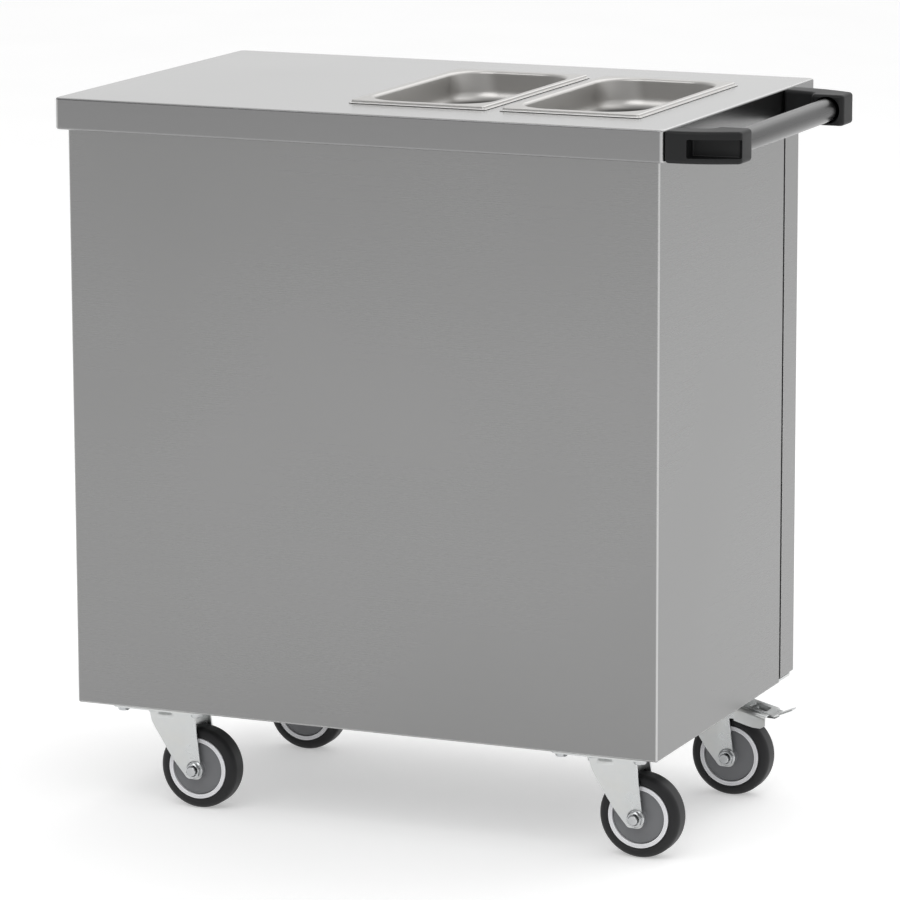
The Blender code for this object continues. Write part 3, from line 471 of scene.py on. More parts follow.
def build_casing():
    """One bent sheet, drawn in a little at its foot, with holes for the controls and the gland."""
    low, high = CASE
    rim, reach = 1.3 * MM, 10 * MM
    levels = ((low.z, wall_path(rim, 2 * MM)), (low.z + rim, wall_path(0, 3 * MM)),
              (high.z, wall_path(0, 3 * MM)))
    sheet = open_sheet([[(x, y, z) for x, y in path] for z, path in levels])
    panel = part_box("control_panel")
    tray = rounded_loop((panel[0].y, panel[0].z), (panel[1].y, panel[1].z), 0.3 * MM)
    hole = circle(middle("cable_gland")[1:], 8.4 * MM)
    tools = [prism(outline, low.x - reach, low.x + reach, "X") for outline in (tray, hole)]
    casing = cut(thickened(sheet, SHEET), *tools)
    piece("casing_wrap", casing, CASE_STEEL, "cabinet", "casing_steel", "casing")


build_worktop()
for pan_side in ("left", "right"):
    build_pan(pan_side)
build_casing()


# ---- push handle ------------------------------------------------------------------
def bracket_plan():
    """Plan of the front bracket: bowed outside, round nose, square boss for the tube."""
    low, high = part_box("handle_bracket_front")
    root, end, front, boss = low.x, high.x, low.y, high.y
    bow, nose_r = 20 * MM, 6 * MM
    span = end - nose_r - root
    shares = [i / 16 for i in range(16)]
    outer = [(root + span * share, front + bow * share ** 2.2) for share in shares]
    nose = arc((end - nose_r, front + bow + nose_r), nose_r, -64, 0, 3)
    heel = arc((end - 6 * MM, boss - 6 * MM), 6 * MM, 0, 90, 3)
    inner = arc((end - 35.5 * MM, boss - 5.5 * MM), 5.5 * MM, 90, 180, 3)
    inner += arc((end - 53 * MM, front + 50 * MM), 12 * MM, 0, -70, 8)
    return outer + nose + heel + inner + [(root + 8 * MM, front + 31 * MM), (root, front + 30 * MM)]


def build_handle():
    """Two moulded brackets, each with a pocket and a socket, and the tube between them."""
    name = "handle_bracket_"
    low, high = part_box(name + "front")
    tube_low, tube_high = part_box("handle_tube")
    mirror_y = (low.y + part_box(name + "rear")[1].y) / 2
    centre_x, _, centre_z = middle("handle_tube")
    radius = (tube_high.x - tube_low.x) / 2
    body = rounded(prism(bracket_plan(), low.z, high.z), 4.2 * MM, 6, 50)
    near, far = low.x + 26 * MM, low.x + 85 * MM
    plan = [(near, low.y - 10 * MM), (far, low.y - 10 * MM), (far, low.y + 24 * MM),
            (far - 5 * MM, low.y + 29 * MM), (near, low.y + 22 * MM)]
    pocket = rounded(prism(plan, centre_z - 12 * MM, centre_z + 9.5 * MM), 2 * MM, 4, 30)
    fit, lead = radius + 1.6 * MM, radius + 2.8 * MM
    socket = turned([(fit, high.y - 12 * MM), (fit, high.y - 1.2 * MM), (lead, high.y + 0.2 * MM),
                     (lead, high.y + 4 * MM)], "Y")
    front = cut(body, pocket, placed(socket, centre_x, 0, centre_z))
    mirror = Matrix.Translation((0, 2 * mirror_y, 0)) @ Matrix.Scale(-1, 4, (0, 1, 0))
    for end, shape in (("front", front), ("rear", moved(front, mirror))):
        piece(name + end + "_moulding", shape, HANDLE, "cabinet", "handle_plastic", name + end)
    wall, edge = 1.5 * MM, 0.4 * MM
    start, stop = tube_low.y + 6.5 * MM, tube_high.y - 6.5 * MM
    tube = turned([(radius - wall, start), (radius - edge, start), (radius, start + edge),
                   (radius, stop - edge), (radius - edge, stop), (radius - wall, stop)], "Y", 96, ring=True)
    tube = placed(tube, centre_x, 0, centre_z)
    piece("handle_bar", tube, DARKENED_TUBE_STEEL, "cabinet", "tube_steel", "handle_tube")


build_handle()


# ---- casters, each in a frame of its own with the swivel axis at x = y = 0 ---------
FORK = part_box("caster_front_left_fork")
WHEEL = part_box("caster_front_left_tyre")
SWIVEL = JOINTS["caster_front_left_swivel_turn"]["pos_m"]
AXLE_X = JOINTS["caster_front_left_wheel_spin"]["pos_m"][0] - SWIVEL[0]
WHEEL_R = (WHEEL[1].z - WHEEL[0].z) / 2
WHEEL_HALF = (WHEEL[1].y - WHEEL[0].y) / 2
CROWN = FORK[1].z
LEG_OUT, LEG_IN = 22.5 * MM, 19.5 * MM
PLATE_UNDER = 124 * MM
BOLT_X, BOLT_Y = 49 * MM, 33 * MM
PEDAL_AT = JOINTS["caster_rear_left_pedal_press"]["pos_m"]
PIN = (PEDAL_AT[0] - JOINTS["caster_rear_left_swivel_turn"]["pos_m"][0], PEDAL_AT[2])


def mirrored(half):
    return half + [(radius, -along) for radius, along in reversed(half)]


def wheel_meshes():
    """Tyre with a rounded tread, light ring between tyre and hub, and the hub with its boss."""
    half, shoulder = WHEEL_HALF, 9 * MM
    tread = mm((37.7, -1.4), (38.6, -0.5), (39.6, -0.5), (40.2, 0), base=half)
    tread += [(r, w) for w, r in arc((half - shoulder, WHEEL_R - shoulder), shoulder, 0, 90, 8)]
    ring = mm((32.4, -2.4), (32.5, -0.4), (32.8, -0.1), (37, -0.1), (37.4, -0.5), (37.4, -3), base=half)
    disc = mm((6.4, 0), (9.2, 0), (9.8, -0.6), base=LEG_IN - 0.4 * MM)
    disc += mm((10.4, -1.2), (11.5, -1.6), (30.6, -1.9), (31.5, -2.4), (31.8, -4), base=half)
    shapes = {"tyre": (tread, 96), "rim_ring": (ring, 96), "hub_disc": (disc, 72)}
    return {name: turned(mirrored(half_profile), "Y", steps, ring=True)
            for name, (half_profile, steps) in shapes.items()}


def leg_outline():
    """Side view of a leg: wide at the crown, slanting edge, squared foot with round corners."""
    foot_z, foot_r = WHEEL_R - 12.2 * MM, 7 * MM
    points = mm((-17, 119), (-16.8, 114), (-15.2, 107), (-11, 98.5), (-4.5, 88), (4, 73.2), (14, 57.6))
    points += arc((AXLE_X - 7 * MM, foot_z + foot_r), foot_r, 218, 270, 5)
    points += arc((AXLE_X + 9 * MM - foot_r, foot_z + foot_r), foot_r, 270, 356, 6)
    return points + [(40 * MM, CROWN)]


def creased(mesh, side):
    """Turns the part of a leg ahead of its crease a little outwards."""
    crease_x, slope = AXLE_X - 14 * MM, 0.11
    bm = bmesh.new()
    bm.from_mesh(mesh)
    bmesh.ops.bisect_plane(bm, geom=bm.verts[:] + bm.edges[:] + bm.faces[:], plane_co=(crease_x, 0, 0),
                           plane_no=(1, 0, 0))
    for vert in bm.verts:
        ahead = max(0.0, crease_x - vert.co.x)
        vert.co.y += side * ahead * slope
    return to_mesh(bm)


def fork_mesh(braked):
    """Crown dish, bridge and two legs, with ears for the pedal's pin on a braked fork."""
    ear_r = 5 * MM
    ear = [(40 * MM, PIN[1] + ear_r)] + arc(PIN, ear_r, 90, -90, 8) + [(42 * MM, PIN[1] - ear_r)]
    legs = []
    for side in (-1, 1):
        ends = sorted((side * LEG_IN, side * LEG_OUT))
        leg = prism([(z, x) for x, z in leg_outline()], *ends, "Y")
        legs.append(creased(rounded(leg, 0.7 * MM, 2, 60), side))
        if braked:
            legs.append(prism([(z, x) for x, z in ear], *ends, "Y"))
    dish = mm((7.6, -3), (23, -3), (24.5, -4), (25.5, -7), (27.4, -7), (27.8, -3), (26.5, -0.8),
              (24.5, 0), (7.6, 0), base=CROWN)
    crown = turned(dish, "Z", 72, ring=True)
    half = LEG_OUT - 0.5 * MM
    bridge = block((-21.5 * MM, -half, CROWN - 3 * MM), (40.5 * MM, half, CROWN - 0.2 * MM))
    bore = turned(mm((7.6, -20), (7.6, 20), base=CROWN), "Z", 32)
    axle = placed(turned(mm((6.3, -40), (6.3, 40)), "Y", 32), AXLE_X, 0, WHEEL_R)
    return cut(joined(crown, rounded(bridge, 0.6 * MM, 2), *legs), bore, axle)


def hex_nut(across_flats, near, far, turn, axis):
    """A nut or bolt head with its corners turned down on the far side."""
    corner, flat = across_flats / math.sqrt(3), across_flats / 2 - 0.3 * MM
    body = prism(arc((0, 0), corner, turn, turn + 300, 5), near, far, axis)
    step = MM if far > near else -MM
    cone = turned([(corner + 1 * MM, near - step), (corner + 1 * MM, far - 2.2 * step), (flat, far),
                   (flat, far + step)], axis, 48)
    return modified(body, "BOOLEAN", (cone,), operation="INTERSECT", solver="EXACT")


def axle_mesh():
    """Axle bolt with a flanged nut on its outer end, seen on the cart's front side."""
    out = LEG_OUT + 0.35 * MM
    shank = mm((5, -34), (5.75, -33.2), (5.75, -23), (6, -22)) + mm((6, 3), base=LEG_OUT)
    nut = hex_nut(16.5 * MM, -out, -29.5 * MM, 12, "Y")
    bore = turned(mm((7.2, -36), (7.2, -24.5)), "Y", 40)
    flange = mm((6, 0), (10.8, 0), (10.8, -0.8), (9.4, -2.2), (6, -2.2), base=-out)
    head = hex_nut(17 * MM, out, LEG_OUT + 7.8 * MM, 20, "Y")
    flange = turned(flange, "Y", 48, ring=True)
    axle = joined(turned(shank, "Y", 40), cut(nut, bore), flange, head)
    return placed(axle, AXLE_X, 0, WHEEL_R)


def plate_meshes():
    """Top plate with its raceway and king pin, and its four bolts."""
    low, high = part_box("caster_front_left_plate")
    half_x, half_y = (high.x - low.x) / 2, (high.y - low.y) / 2
    outline = rounded_loop((-half_x, -half_y), (half_x, half_y), 9 * MM)
    plate = rounded(prism(outline, PLATE_UNDER, high.z), 0.5 * MM, 2)
    race = mm((8, 0.4), (30, 0.4), (31.5, 1.2), (31.5, 2.6), base=CROWN)
    race += mm((35, 0.6), (8, 0.6), base=PLATE_UNDER)
    king = mm((4, -4.2), (10, -4.2), (13, -2.2), (13, 0), (7, 0), base=CROWN - 3.3 * MM)
    king += mm((7, 1), base=PLATE_UNDER)
    washer = mm((4, 0.2), (8, 0.2), (8, -1.2), (4, -1.2), base=PLATE_UNDER)
    bolt = (turned(washer, "Z", 32, ring=True),
            hex_nut(13 * MM, PLATE_UNDER - 1.1 * MM, PLATE_UNDER - 5 * MM, 10, "Z"))
    bolts = [placed(shape, x, y) for x in (-BOLT_X, BOLT_X) for y in (-BOLT_Y, BOLT_Y) for shape in bolt]
    return joined(plate, turned(race, "Z", 72, ring=True), turned(king, "Z", 40)), joined(*bolts)


def pedal_mesh():
    """Foot brake: folded channel over the fork's ears, raised tread with a window, tongue."""
    outer, fold, rise, half = 25.2 * MM, 3 * MM, 2.2 * MM, 15.5 * MM
    stations = ((50, 114.6, 98), (62, 111.6, 94.5), (74, 108.6, 91.5), (84, 106.1, 91), (90, 104.6, 94.5))
    rings = []
    for station in stations:
        x, top, foot = [value * MM for value in station]
        side = [(outer - fold, top)] + arc((outer - fold, top - fold), fold, 90, 0, 4)[1:] + [(outer, foot)]
        rings.append([(x, -y, z) for y, z in reversed(side)] + [(x, y, z) for y, z in side])
    channel = thickened(open_sheet(rings), 1.8 * MM)
    path = mm((56, 113.4)) + mm((58, 113.2), (91, 105.2), base=rise)
    path += mm((97, 105.4), (101, 106.4), (117.8, 113.4))
    outline = path + [(x, z - 2 * MM) for x, z in reversed(path)]
    tread = prism([(z, x) for x, z in outline], -half, half, "Y")
    trim = mm((98, 15.5), (101, 9), (121, 7.2), (121, 20), (98, 20))
    tread = cut(tread, *[prism([(x, side * y) for x, y in trim], 95 * MM, 122 * MM) for side in (-1, 1)])
    window = prism(rounded_loop((64 * MM, -10 * MM), (86 * MM, 10 * MM), 2 * MM, 4), 92 * MM, 122 * MM)
    pin = turned(mm((2.2, -26.3), (2.8, -25.9), (2.8, 25.9), (2.2, 26.3)), "Y", 24)
    return cut(joined(channel, rounded(tread, 0.6 * MM, 2, 50)), window), placed(pin, PIN[0], 0, PIN[1])


def build_casters():
    """The rear pair has brakes. Every caster reuses the same meshes."""
    wheel = wheel_meshes()
    forks = {braked: fork_mesh(braked) for braked in (False, True)}
    axle = axle_mesh()
    plate, bolts = plate_meshes()
    pedal, pin = pedal_mesh()
    for row in ("front", "rear"):
        for side in ("left", "right"):
            name = "caster_%s_%s_" % (row, side)
            fork_body, wheel_body, pedal_body = name + "swivel", name + "wheel", name + "pedal"
            swivel = JOINTS[name + "swivel_turn"]["pos_m"]
            foot = (swivel[0], swivel[1], 0)
            hub = (swivel[0] + AXLE_X, swivel[1], WHEEL_R)
            fork = forks[row == "rear"]
            piece(name + "top_plate", plate, ZINC, "cabinet", "zinc", name + "plate", at=foot)
            piece(name + "plate_bolts", bolts, BRIGHT, "cabinet", "zinc", at=foot)
            piece(name + "fork_pressing", fork, ZINC, fork_body, "zinc", name + "fork", at=foot)
            piece(name + "axle_bolt", axle, BRIGHT, fork_body, "zinc", name + "axle", at=foot)
            piece(name + "tyre_ring", wheel["tyre"], TYRE, wheel_body, "tyre_rubber", name + "tyre", at=hub)
            piece(name + "rim_ring", wheel["rim_ring"], RIM, wheel_body, "hub_plastic", at=hub)
            piece(name + "hub_disc", wheel["hub_disc"], HUB, wheel_body, "hub_plastic", name + "hub", at=hub)
            if row == "rear":
                piece(name + "brake_pedal", pedal, ZINC, pedal_body, "zinc", name + "pedal", at=foot)
                piece(name + "brake_pin", pin, BRIGHT, pedal_body, "zinc", at=foot)


build_casters()


# ---- doors ------------------------------------------------------------------------
def door_rings(name, section, steps):
    """Rings round a door's part that face the rear, from (inset, y, corner radius)."""
    low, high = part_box(name)
    return inset_rings((low.x, low.z), (high.x, high.z), section, "rear", steps)


def build_door(side):
    """Outer skin with folded edges, inner skin with a sunk field, and a soft seal."""
    name, body = "door_%s_" % side, "door_" + side
    low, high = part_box(name + "shell")
    skin, fold, hem = 1.2 * MM, 2.2 * MM, 4 * MM
    section = [(hem, high.y - skin), (skin, high.y - hem), (skin, low.y), (0, low.y)]
    section += arc((fold, high.y - fold), fold, 180, 90, 6)
    shell = loft(door_rings(name + "shell", [(inset, y, 1.5 * MM) for inset, y in section], 4))
    axis = JOINTS[name + "hinge"]["pos_m"]
    pin_way = turned([(4.3 * MM, low.z - 10 * MM), (4.3 * MM, high.z + 10 * MM)], "Z", 32)
    shell = cut(shell, placed(pin_way, axis[0], axis[1]))
    piece(name + "outer_skin", shell, CASE_STEEL, body, "casing_steel", name + "shell")

    low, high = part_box(name + "liner")
    back, sheet, sunk, edge = low.y, high.y - low.y, 5 * MM, 36 * MM
    section = [(edge + 6 * MM, back + sunk + sheet), (edge + 3 * MM, back + sunk), (edge, back + sheet),
               (0, back + sheet), (0, back), (edge, back), (edge + 1.5 * MM, back + 0.6 * MM),
               (edge + 5 * MM, back + sunk - 0.6 * MM), (edge + 6.5 * MM, back + sunk)]
    rings = door_rings(name + "liner", [(inset, y, 1 * MM + 0.4 * inset) for inset, y in section], 6)
    piece(name + "inner_skin", loft(rings), INNER_STEEL, body, "inner_steel", name + "liner")

    low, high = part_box(name + "gasket")
    bulb = 1.7 * MM
    section = mm((0, 0), (0, -0.8), (3.2, -1.1), base=high.y)
    section += arc((6 * MM, low.y + bulb), bulb, 180, 360, 10)
    section += mm((8.8, -1.1), (11, -0.8), (11, 0), base=high.y)
    rings = door_rings(name + "gasket", [(inset, y, 14 * MM - inset) for inset, y in section], 8)
    piece(name + "seal", band(rings), SEAL, body, "gasket_rubber", name + "gasket")


def build_pull(side):
    """Bow pull: a bent round bar on two turned feet."""
    name, body = "door_%s_pull" % side, "door_" + side
    low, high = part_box(name)
    radius, bend = (high.x - low.x) / 2, 12 * MM
    x, face, out = middle(name)[0], low.y, high.y - radius
    bottom, top = low.z + radius, high.z - radius
    path = [(face, bottom)] + arc((out - bend, bottom + bend), bend, -90, 0, 12)
    path += arc((out - bend, top - bend), bend, 0, 90, 12) + [(face, top)]
    piece(name + "_bar", bar([(x, y, z) for y, z in path], radius), BRIGHT, body, "tube_steel", name)
    foot = turned(mm((8.6, 0), (8.6, 1.2), (8, 1.8), (6, 2.2), (4.7, 3.4), base=face), "Y", 40)
    feet = joined(*[placed(foot, x, 0, z) for z in (bottom, top)])
    piece(name + "_feet", feet, BRIGHT, body, "tube_steel")


def build_hinge(side, end):
    """Pivot bracket: a plate with a round nose, its upstand and the pin. The top bracket's
    upstand is taller and has two screws."""
    name, top = "door_%s_hinge_%s" % (side, end), end == "top"
    low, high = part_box(name)
    axis_x, axis_y = JOINTS["door_%s_hinge" % side]["pos_m"][:2]
    arm, pin_r, chamfer = 3.5 * MM, 4 * MM, 0.8 * MM
    base, tip, tip_step = (high.z - 28 * MM, low.z, chamfer) if top else (low.z, high.z, -chamfer)
    outline = [(low.x, low.y), (high.x, low.y)] + arc((axis_x, axis_y), high.y - axis_y, 0, 180, 16)
    plate = rounded(prism(outline, base, base + arm), 0.5 * MM, 2, 50)
    face, tall = low.y + SHEET, high.z if top else base + 5 * MM
    back = rounded(block((low.x, low.y, base), (high.x, face, tall)), 0.4 * MM, 2)
    pin = turned([(pin_r - chamfer, tip), (pin_r, tip + tip_step), (pin_r, base + arm / 2)], "Z", 32)
    bracket = joined(plate, back, placed(pin, axis_x, axis_y))
    piece(name + "_bracket", bracket, ZINC, "cabinet", "zinc", name)
    if top:
        head = turned(mm((3.6, 0), (3.5, 0.9), (2, 1.9), base=face), "Y", 32)
        screws = [placed(head, middle(name)[0], 0, base + rise * MM) for rise in (10, 21)]
        piece(name + "_screws", joined(*screws), BRIGHT, "cabinet", "zinc")


for door_side in ("left", "right"):
    build_door(door_side)
    build_pull(door_side)
    for hinge_end in ("top", "bottom"):
        build_hinge(door_side, hinge_end)


# ---- controls in the left-hand end -------------------------------------------------
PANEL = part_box("control_panel")
PANEL_FACE = PANEL[1].x - SHEET


def build_tray():
    """Drawn tray with a soft corner round its floor and cut-outs for the controls."""
    low, high = PANEL
    soft, fine = 4 * MM, 0.4 * MM
    section = [(soft, high.x), (0.8 * MM, high.x - 1 * MM), (0, high.x - soft), (0, low.x + fine),
               (fine, low.x), (SHEET - fine, low.x), (SHEET, low.x + fine)]
    section += arc((SHEET + soft, PANEL_FACE - soft), soft, 180, 90, 6)
    section = [(inset, x, fine + inset) for inset, x in section]
    tray = loft(inset_rings((low.y, low.z), (high.y, high.z), section, "left", 6))
    near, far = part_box("rocker_switch")
    window = rounded_loop((near.y - fine, near.z - fine), (far.y + fine, far.z + fine), 1 * MM)
    knob, lamp = middle("thermostat_knob")[1:], middle("pilot_lamp")[1:]
    holes = (circle(knob, 3.4 * MM), circle(lamp, 6.3 * MM), window)
    tools = [prism(hole, low.x, high.x + 10 * MM, "X") for hole in holes]
    piece("control_tray", cut(tray, *tools), CASE_STEEL, "cabinet", "casing_steel", "control_panel")


def fluted(radius, depth, count):
    """Outline of a grip with rounded ribs."""
    turns = [math.radians(2 * i) for i in range(180)]
    reach = [radius - depth * (0.5 + 0.5 * math.cos(count * t)) ** 2 for t in turns]
    return [(r * math.cos(t), r * math.sin(t)) for r, t in zip(reach, turns)]


def build_knob():
    """Skirt, ribbed grip and short shaft, with a white pointer."""
    name = "thermostat_knob"
    y, z = middle(name)[1:]
    front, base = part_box(name)[0].x + 0.4 * MM, PANEL_FACE - 0.3 * MM
    skirt = turned(mm((21.4, 0), (22, -0.6), (22, -1.8), (20.8, -2.8), (16, -3.4), base=base), "X", 96)
    outline = fluted(17 * MM, 1.3 * MM, 20)
    levels = ((1.0, base - 2 * MM), (0.97, front + 1.6 * MM), (0.945, front + 0.5 * MM), (0.90, front))
    grip = loft([[(x, a * scale, b * scale) for a, b in outline] for scale, x in levels])
    shaft = turned(mm((3, -1), (3, 6), base=base), "X", 24)
    knob = placed(joined(skirt, grip, shaft), 0, y, z)
    piece("thermostat_grip", knob, BLACK, name, "black_plastic", name)
    line = block((front - 0.35 * MM, -0.8 * MM, 5 * MM), (front + 0.5 * MM, 0.8 * MM, 14.6 * MM))
    line = placed(rounded(line, 0.15 * MM, 2), 0, y, z)
    piece("thermostat_pointer", line, WHITE, name, "black_plastic")


def digits(text, size):
    """A flat printed number that faces left."""
    curve = configured(bpy.data.curves.new("digits", "FONT"), body=text, size=size, align_x="CENTER",
                       align_y="CENTER", extrude=0.04 * MM, offset=0.16 * MM)
    facing_left = Matrix(((0, 0, -1, 0), (-1, 0, 0, 0), (0, 1, 0, 0), (0, 0, 0, 1)))
    return moved(drawn(linked("digits", curve)), facing_left)


def build_dial():
    """Ticks and plain numbers from 0 to 10 round the knob, printed on the tray."""
    sweep = -JOINTS["thermostat_knob_turn"]["axis"][0] * math.radians(270)
    start, number_r = 23.4 * MM, 30.6 * MM
    marks = []
    for step in range(11):
        turn, numbered = sweep * step / 10, step % 2 == 0
        length = 3.4 * MM if numbered else 2 * MM
        tick = block((-0.1 * MM, -0.5 * MM, start), (0.1 * MM, 0.5 * MM, start + length))
        marks.append(moved(tick, Matrix.Rotation(-turn, 4, "X")))
        if numbered:
            place = Vector((0, 0, number_r))
            place.rotate(Matrix.Rotation(-turn, 3, "X"))
            marks.append(placed(digits(str(step), 6 * MM), *place))
    dial = placed(merged(marks), PANEL_FACE, *middle("thermostat_knob")[1:])
    piece("dial_marks", dial, BLACK, "cabinet", "black_plastic")


def build_switch():
    """Rocker with a hollowed face in a raised bezel."""
    name = "rocker_switch"
    low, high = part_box(name)
    pivot = Vector(JOINTS["rocker_switch_tilt"]["pos_m"])
    half_w, half_h = (high.y - low.y) / 2, 13.4 * MM
    heights = [math.sin(math.radians(a)) for a in range(-90, 91, 15)]
    hollow = [(height * half_h, (-3.6 - 2.2 * height ** 2) * MM) for height in heights]
    outline = [(-half_h, 5.6 * MM)] + hollow + [(half_h, 5.6 * MM)]
    tilt = Matrix.Translation(pivot) @ Matrix.Rotation(math.radians(-6), 4, "Y")
    rocker = rounded(prism(outline, -half_w, half_w, "Y"), 0.5 * MM, 3, 50)
    piece("rocker_cap", moved(rocker, tilt), BLACK, name, "black_plastic", name)
    stroke = block((-5.2 * MM, -0.5 * MM, 5 * MM), (-4.6 * MM, 0.5 * MM, 10 * MM))
    ring = turned(mm((1.7, -5.2), (2.6, -5.2), (2.6, -4.6), (1.7, -4.6)), "X", 32, ring=True)
    marks = merged([stroke, placed(ring, 0, 0, -7.5 * MM)])
    piece("rocker_marks", moved(marks, tilt), WHITE, name, "black_plastic")
    section = mm((0, 0), (0, -1.1), (0.5, -1.6), (2.2, -1.6), (2.7, -1.1), (2.7, 0), base=PANEL_FACE)
    section = [(inset, x, 3.5 * MM - inset) for inset, x in section]
    y, half_y, half_z = middle(name)[1], half_w + 3.3 * MM, half_h + 4 * MM
    rings = inset_rings((y - half_y, pivot.z - half_z), (y + half_y, pivot.z + half_z), section, "left", 6)
    piece("rocker_bezel", band(rings), BLACK, "cabinet", "black_plastic")


def build_lamp():
    """Domed red lens in a bright bezel."""
    low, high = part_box("pilot_lamp")
    y, z = middle("pilot_lamp")[1:]
    face, lens_r = PANEL_FACE - 0.2 * MM, 6.6 * MM
    dome = [(r, x) for x, r in arc((face - 2.2 * MM, 0), lens_r, 100, 170, 8) if x > low.x - 1 * MM]
    rim = mm((5.8, 0), (6.6, 0), (6.6, -2.2), base=face)
    lens = turned([(5.8 * MM, high.x)] + rim + dome, "X", 48)
    piece("pilot_lens", placed(lens, 0, y, z), RED, "cabinet", "red_plastic", "pilot_lamp")
    bezel = mm((6.7, 0.1), (8.4, 0.1), (8.4, -1), (7.6, -1.9), (6.7, -1.9), base=face)
    bezel = placed(turned(bezel, "X", 48, ring=True), 0, y, z)
    piece("pilot_bezel", bezel, BRIGHT, "cabinet", "red_plastic")


def build_gland():
    """Hexagon on the wall, domed cap and a hollow thread inside."""
    low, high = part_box("cable_gland")
    wall = CASE[0].x - 0.3 * MM
    nut = hex_nut(20.6 * MM, wall, wall - 5 * MM, 0, "X")
    dome = mm((9.2, -4), (9.2, -6), (8.6, -8), base=wall) + mm((7, 0), (6, 0), base=low.x)
    thread = turned([(8 * MM, wall - 1 * MM), (8 * MM, high.x)], "X", 48)
    bore = turned([(4.6 * MM, low.x - 5 * MM), (4.6 * MM, high.x + 5 * MM)], "X", 32)
    body = cut(joined(nut, turned(dome, "X", 48), thread), bore)
    body = placed(body, 0, *middle("cable_gland")[1:])
    piece("gland_body", body, BLACK, "cabinet", "black_plastic", "cable_gland")


build_tray()
build_knob()
build_dial()
build_switch()
build_lamp()
build_gland()


# ---- heater and drain -------------------------------------------------------------
def build_element():
    """One bar bent round half a turn."""
    name = "heating_element"
    low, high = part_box(name)
    radius = (high.z - low.z) / 2
    _, y, z = middle(name)
    half = (high.y - low.y) / 2 - radius
    path = [(low.x, y - half)] + arc((high.x - radius - half, y), half, -90, 90, 32) + [(low.x, y + half)]
    sheath = bar([(x, y, z) for x, y in path], radius)
    piece("element_sheath", sheath, SHEATH, "cabinet", "element_metal", name)


def build_valve():
    """Turned valve body with a ribbed hose nozzle, and a sleeved quarter-turn lever."""
    low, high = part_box("drain_valve")
    x, y = middle("drain_valve")[0], low.y + 15 * MM
    pivot = JOINTS["drain_lever_turn"]["pos_m"]
    z = pivot[2]
    profile = mm((8, 0), (9, 2), (8, 7), (9, 9), (8, 14), (9, 16), (8.2, 21), base=low.z)
    profile += mm((9, -19), (13, -17), (15, -13), (15, 9), (13.4, 12), base=z) + [(12.4 * MM, high.z)]
    bore = turned([(6.5 * MM, low.z - 5 * MM), (6.5 * MM, z - 12 * MM)], "Z", 32)
    reach = high.y - y
    stem = turned([(5 * MM, 0), (5 * MM, reach - 0.6 * MM), (4.4 * MM, reach)], "Y", 32)
    packing = hex_nut(16 * MM, 12 * MM, 18 * MM, 0, "Y")
    side = [placed(shape, 0, 0, z) for shape in (stem, packing)]
    valve = placed(joined(cut(turned(profile, "Z", 56), bore), *side), x, y)
    piece("valve_body", valve, BRASS, "cabinet", "brass", "drain_valve")

    name = "drain_lever"
    low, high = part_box(name)
    y, half = middle(name)[1], (high.z - low.z) / 2
    tip_r, tip_half = 6 * MM, 4.6 * MM
    outline = [(b, a) for a, b in arc((pivot[0], z), half, -100, 100, 20)]
    outline += [(z + tip_half, low.x + tip_r), (z - tip_half, low.x + tip_r)]
    strip = rounded(prism(outline, y - 1.2 * MM, y + 1.2 * MM, "Y"), 0.4 * MM, 2, 50)
    piece("lever_strip", strip, ZINC, name, "red_plastic", name)
    outline = rounded_loop((z - tip_r, low.x), (z + tip_r, low.x + 46 * MM), 5.6 * MM)
    sleeve = rounded(prism(outline, y - 2.6 * MM, y + 2.6 * MM, "Y"), 1.6 * MM, 4, 50)
    piece("lever_sleeve", sleeve, RED, name, "red_plastic")
    nut = placed(hex_nut(10 * MM, high.y - 1 * MM, high.y + 3 * MM, 15, "Y"), pivot[0], 0, z)
    piece("lever_nut", nut, BRIGHT, name, "red_plastic")


build_element()
build_valve()

# ---- CAD nodes that keep their own shape ------------------------------------------
KEPT = {
    INNER_STEEL: ["floor_pan", "base_rail_left", "base_rail_right", "rear_frame", "shelf",
                  "shelf_runner_left", "shelf_runner_right", "water_tank", "tank_jacket"],
    BLACK: ["thermostat"],
}
for look, names in KEPT.items():
    for name in names:
        kept = frame["nodes"][name]
        kept.data.materials.clear()
        kept.data.materials.append(look)


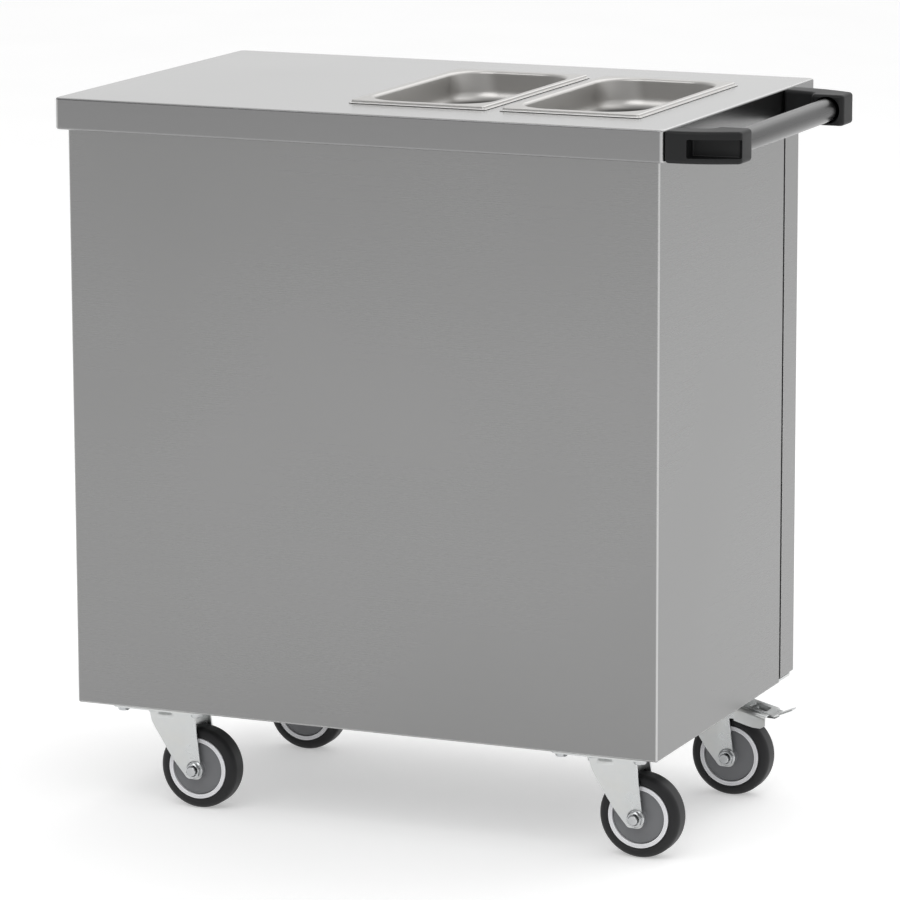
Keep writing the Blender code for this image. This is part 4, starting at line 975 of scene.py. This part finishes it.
# ---- floor, light and camera ------------------------------------------------------
def build_sky(bright_side, low, high):
    """Soft surroundings: brightest above and behind the cart, dimmest on its front side."""
    world = bpy.data.worlds.new("studio")
    world.use_nodes = True
    tree = world.node_tree
    heading = node(tree, "TexCoord").outputs["Generated"]
    towards = node(tree, "VectorMath", {0: heading, 1: bright_side}, operation="DOT_PRODUCT").outputs["Value"]
    background = tree.nodes["Background"]
    tree.links.new(spread(tree, towards, low, high, -1.0, 1.0), background.inputs["Strength"])
    background.inputs["Color"].default_value = (1, 1, 1, 1)
    bpy.context.scene.world = world


def build_studio():
    """A plain pale floor that glows a little, the sky and two large soft lights."""
    bpy.ops.mesh.primitive_plane_add(size=120)
    floor = bpy.context.object
    floor.name = "studio_floor"
    pale, tree, shader = blank("pale_floor", 0.0, 0.9, (0.80, 0.80, 0.80), Emission_Strength=0.36)
    cloud = noise(tree, node(tree, "TexCoord").outputs["Object"], 3.0, 3.0)
    tone = mixed(tree, spread(tree, cloud, 0, 1), (0.79, 0.79, 0.79), (0.81, 0.81, 0.81))
    tree.links.new(tone, shader.inputs["Base Color"])
    shader.inputs["Emission Color"].default_value = (1, 1, 1, 1)
    floor.data.materials.append(pale)
    build_sky(Vector((0.3, 0.84, 0.45)).normalized(), 0.22, 1.03)
    for name, place, aim, size, power in (
            ("overhead", (0.9, 2.2, 3.6), (0.2, 0.2, 0), 4.5, 40.0),
            ("floor_wash", (0.1, -3.4, 3.2), (0.1, -3.4, 0), 3.6, 70.0)):
        light = linked(name, configured(bpy.data.lights.new(name, "AREA"), size=size, energy=power))
        light.location = place
        light.rotation_euler = (Vector(aim) - Vector(place)).to_track_quat("-Z", "Y").to_euler()


def build_camera():
    """Long lens from the front right, looking slightly down."""
    camera = configured(bpy.data.cameras.new("camera"), lens=203.53, sensor_width=36.0, clip_end=200.0)
    holder = linked("camera", camera)
    yaw, pitch, roll = math.radians(23.467), math.radians(-11.289), math.radians(-0.192)
    turn = (Matrix.Rotation(yaw, 4, "Z") @ Matrix.Rotation(math.pi / 2 + pitch, 4, "X")
            @ Matrix.Rotation(roll, 4, "Z"))
    holder.matrix_world = Matrix.Translation((2.3743, -5.5385, 1.6289)) @ turn
    bpy.context.scene.camera = holder


build_studio()
build_camera()
bpy.context.scene.view_settings.view_transform = "Standard"
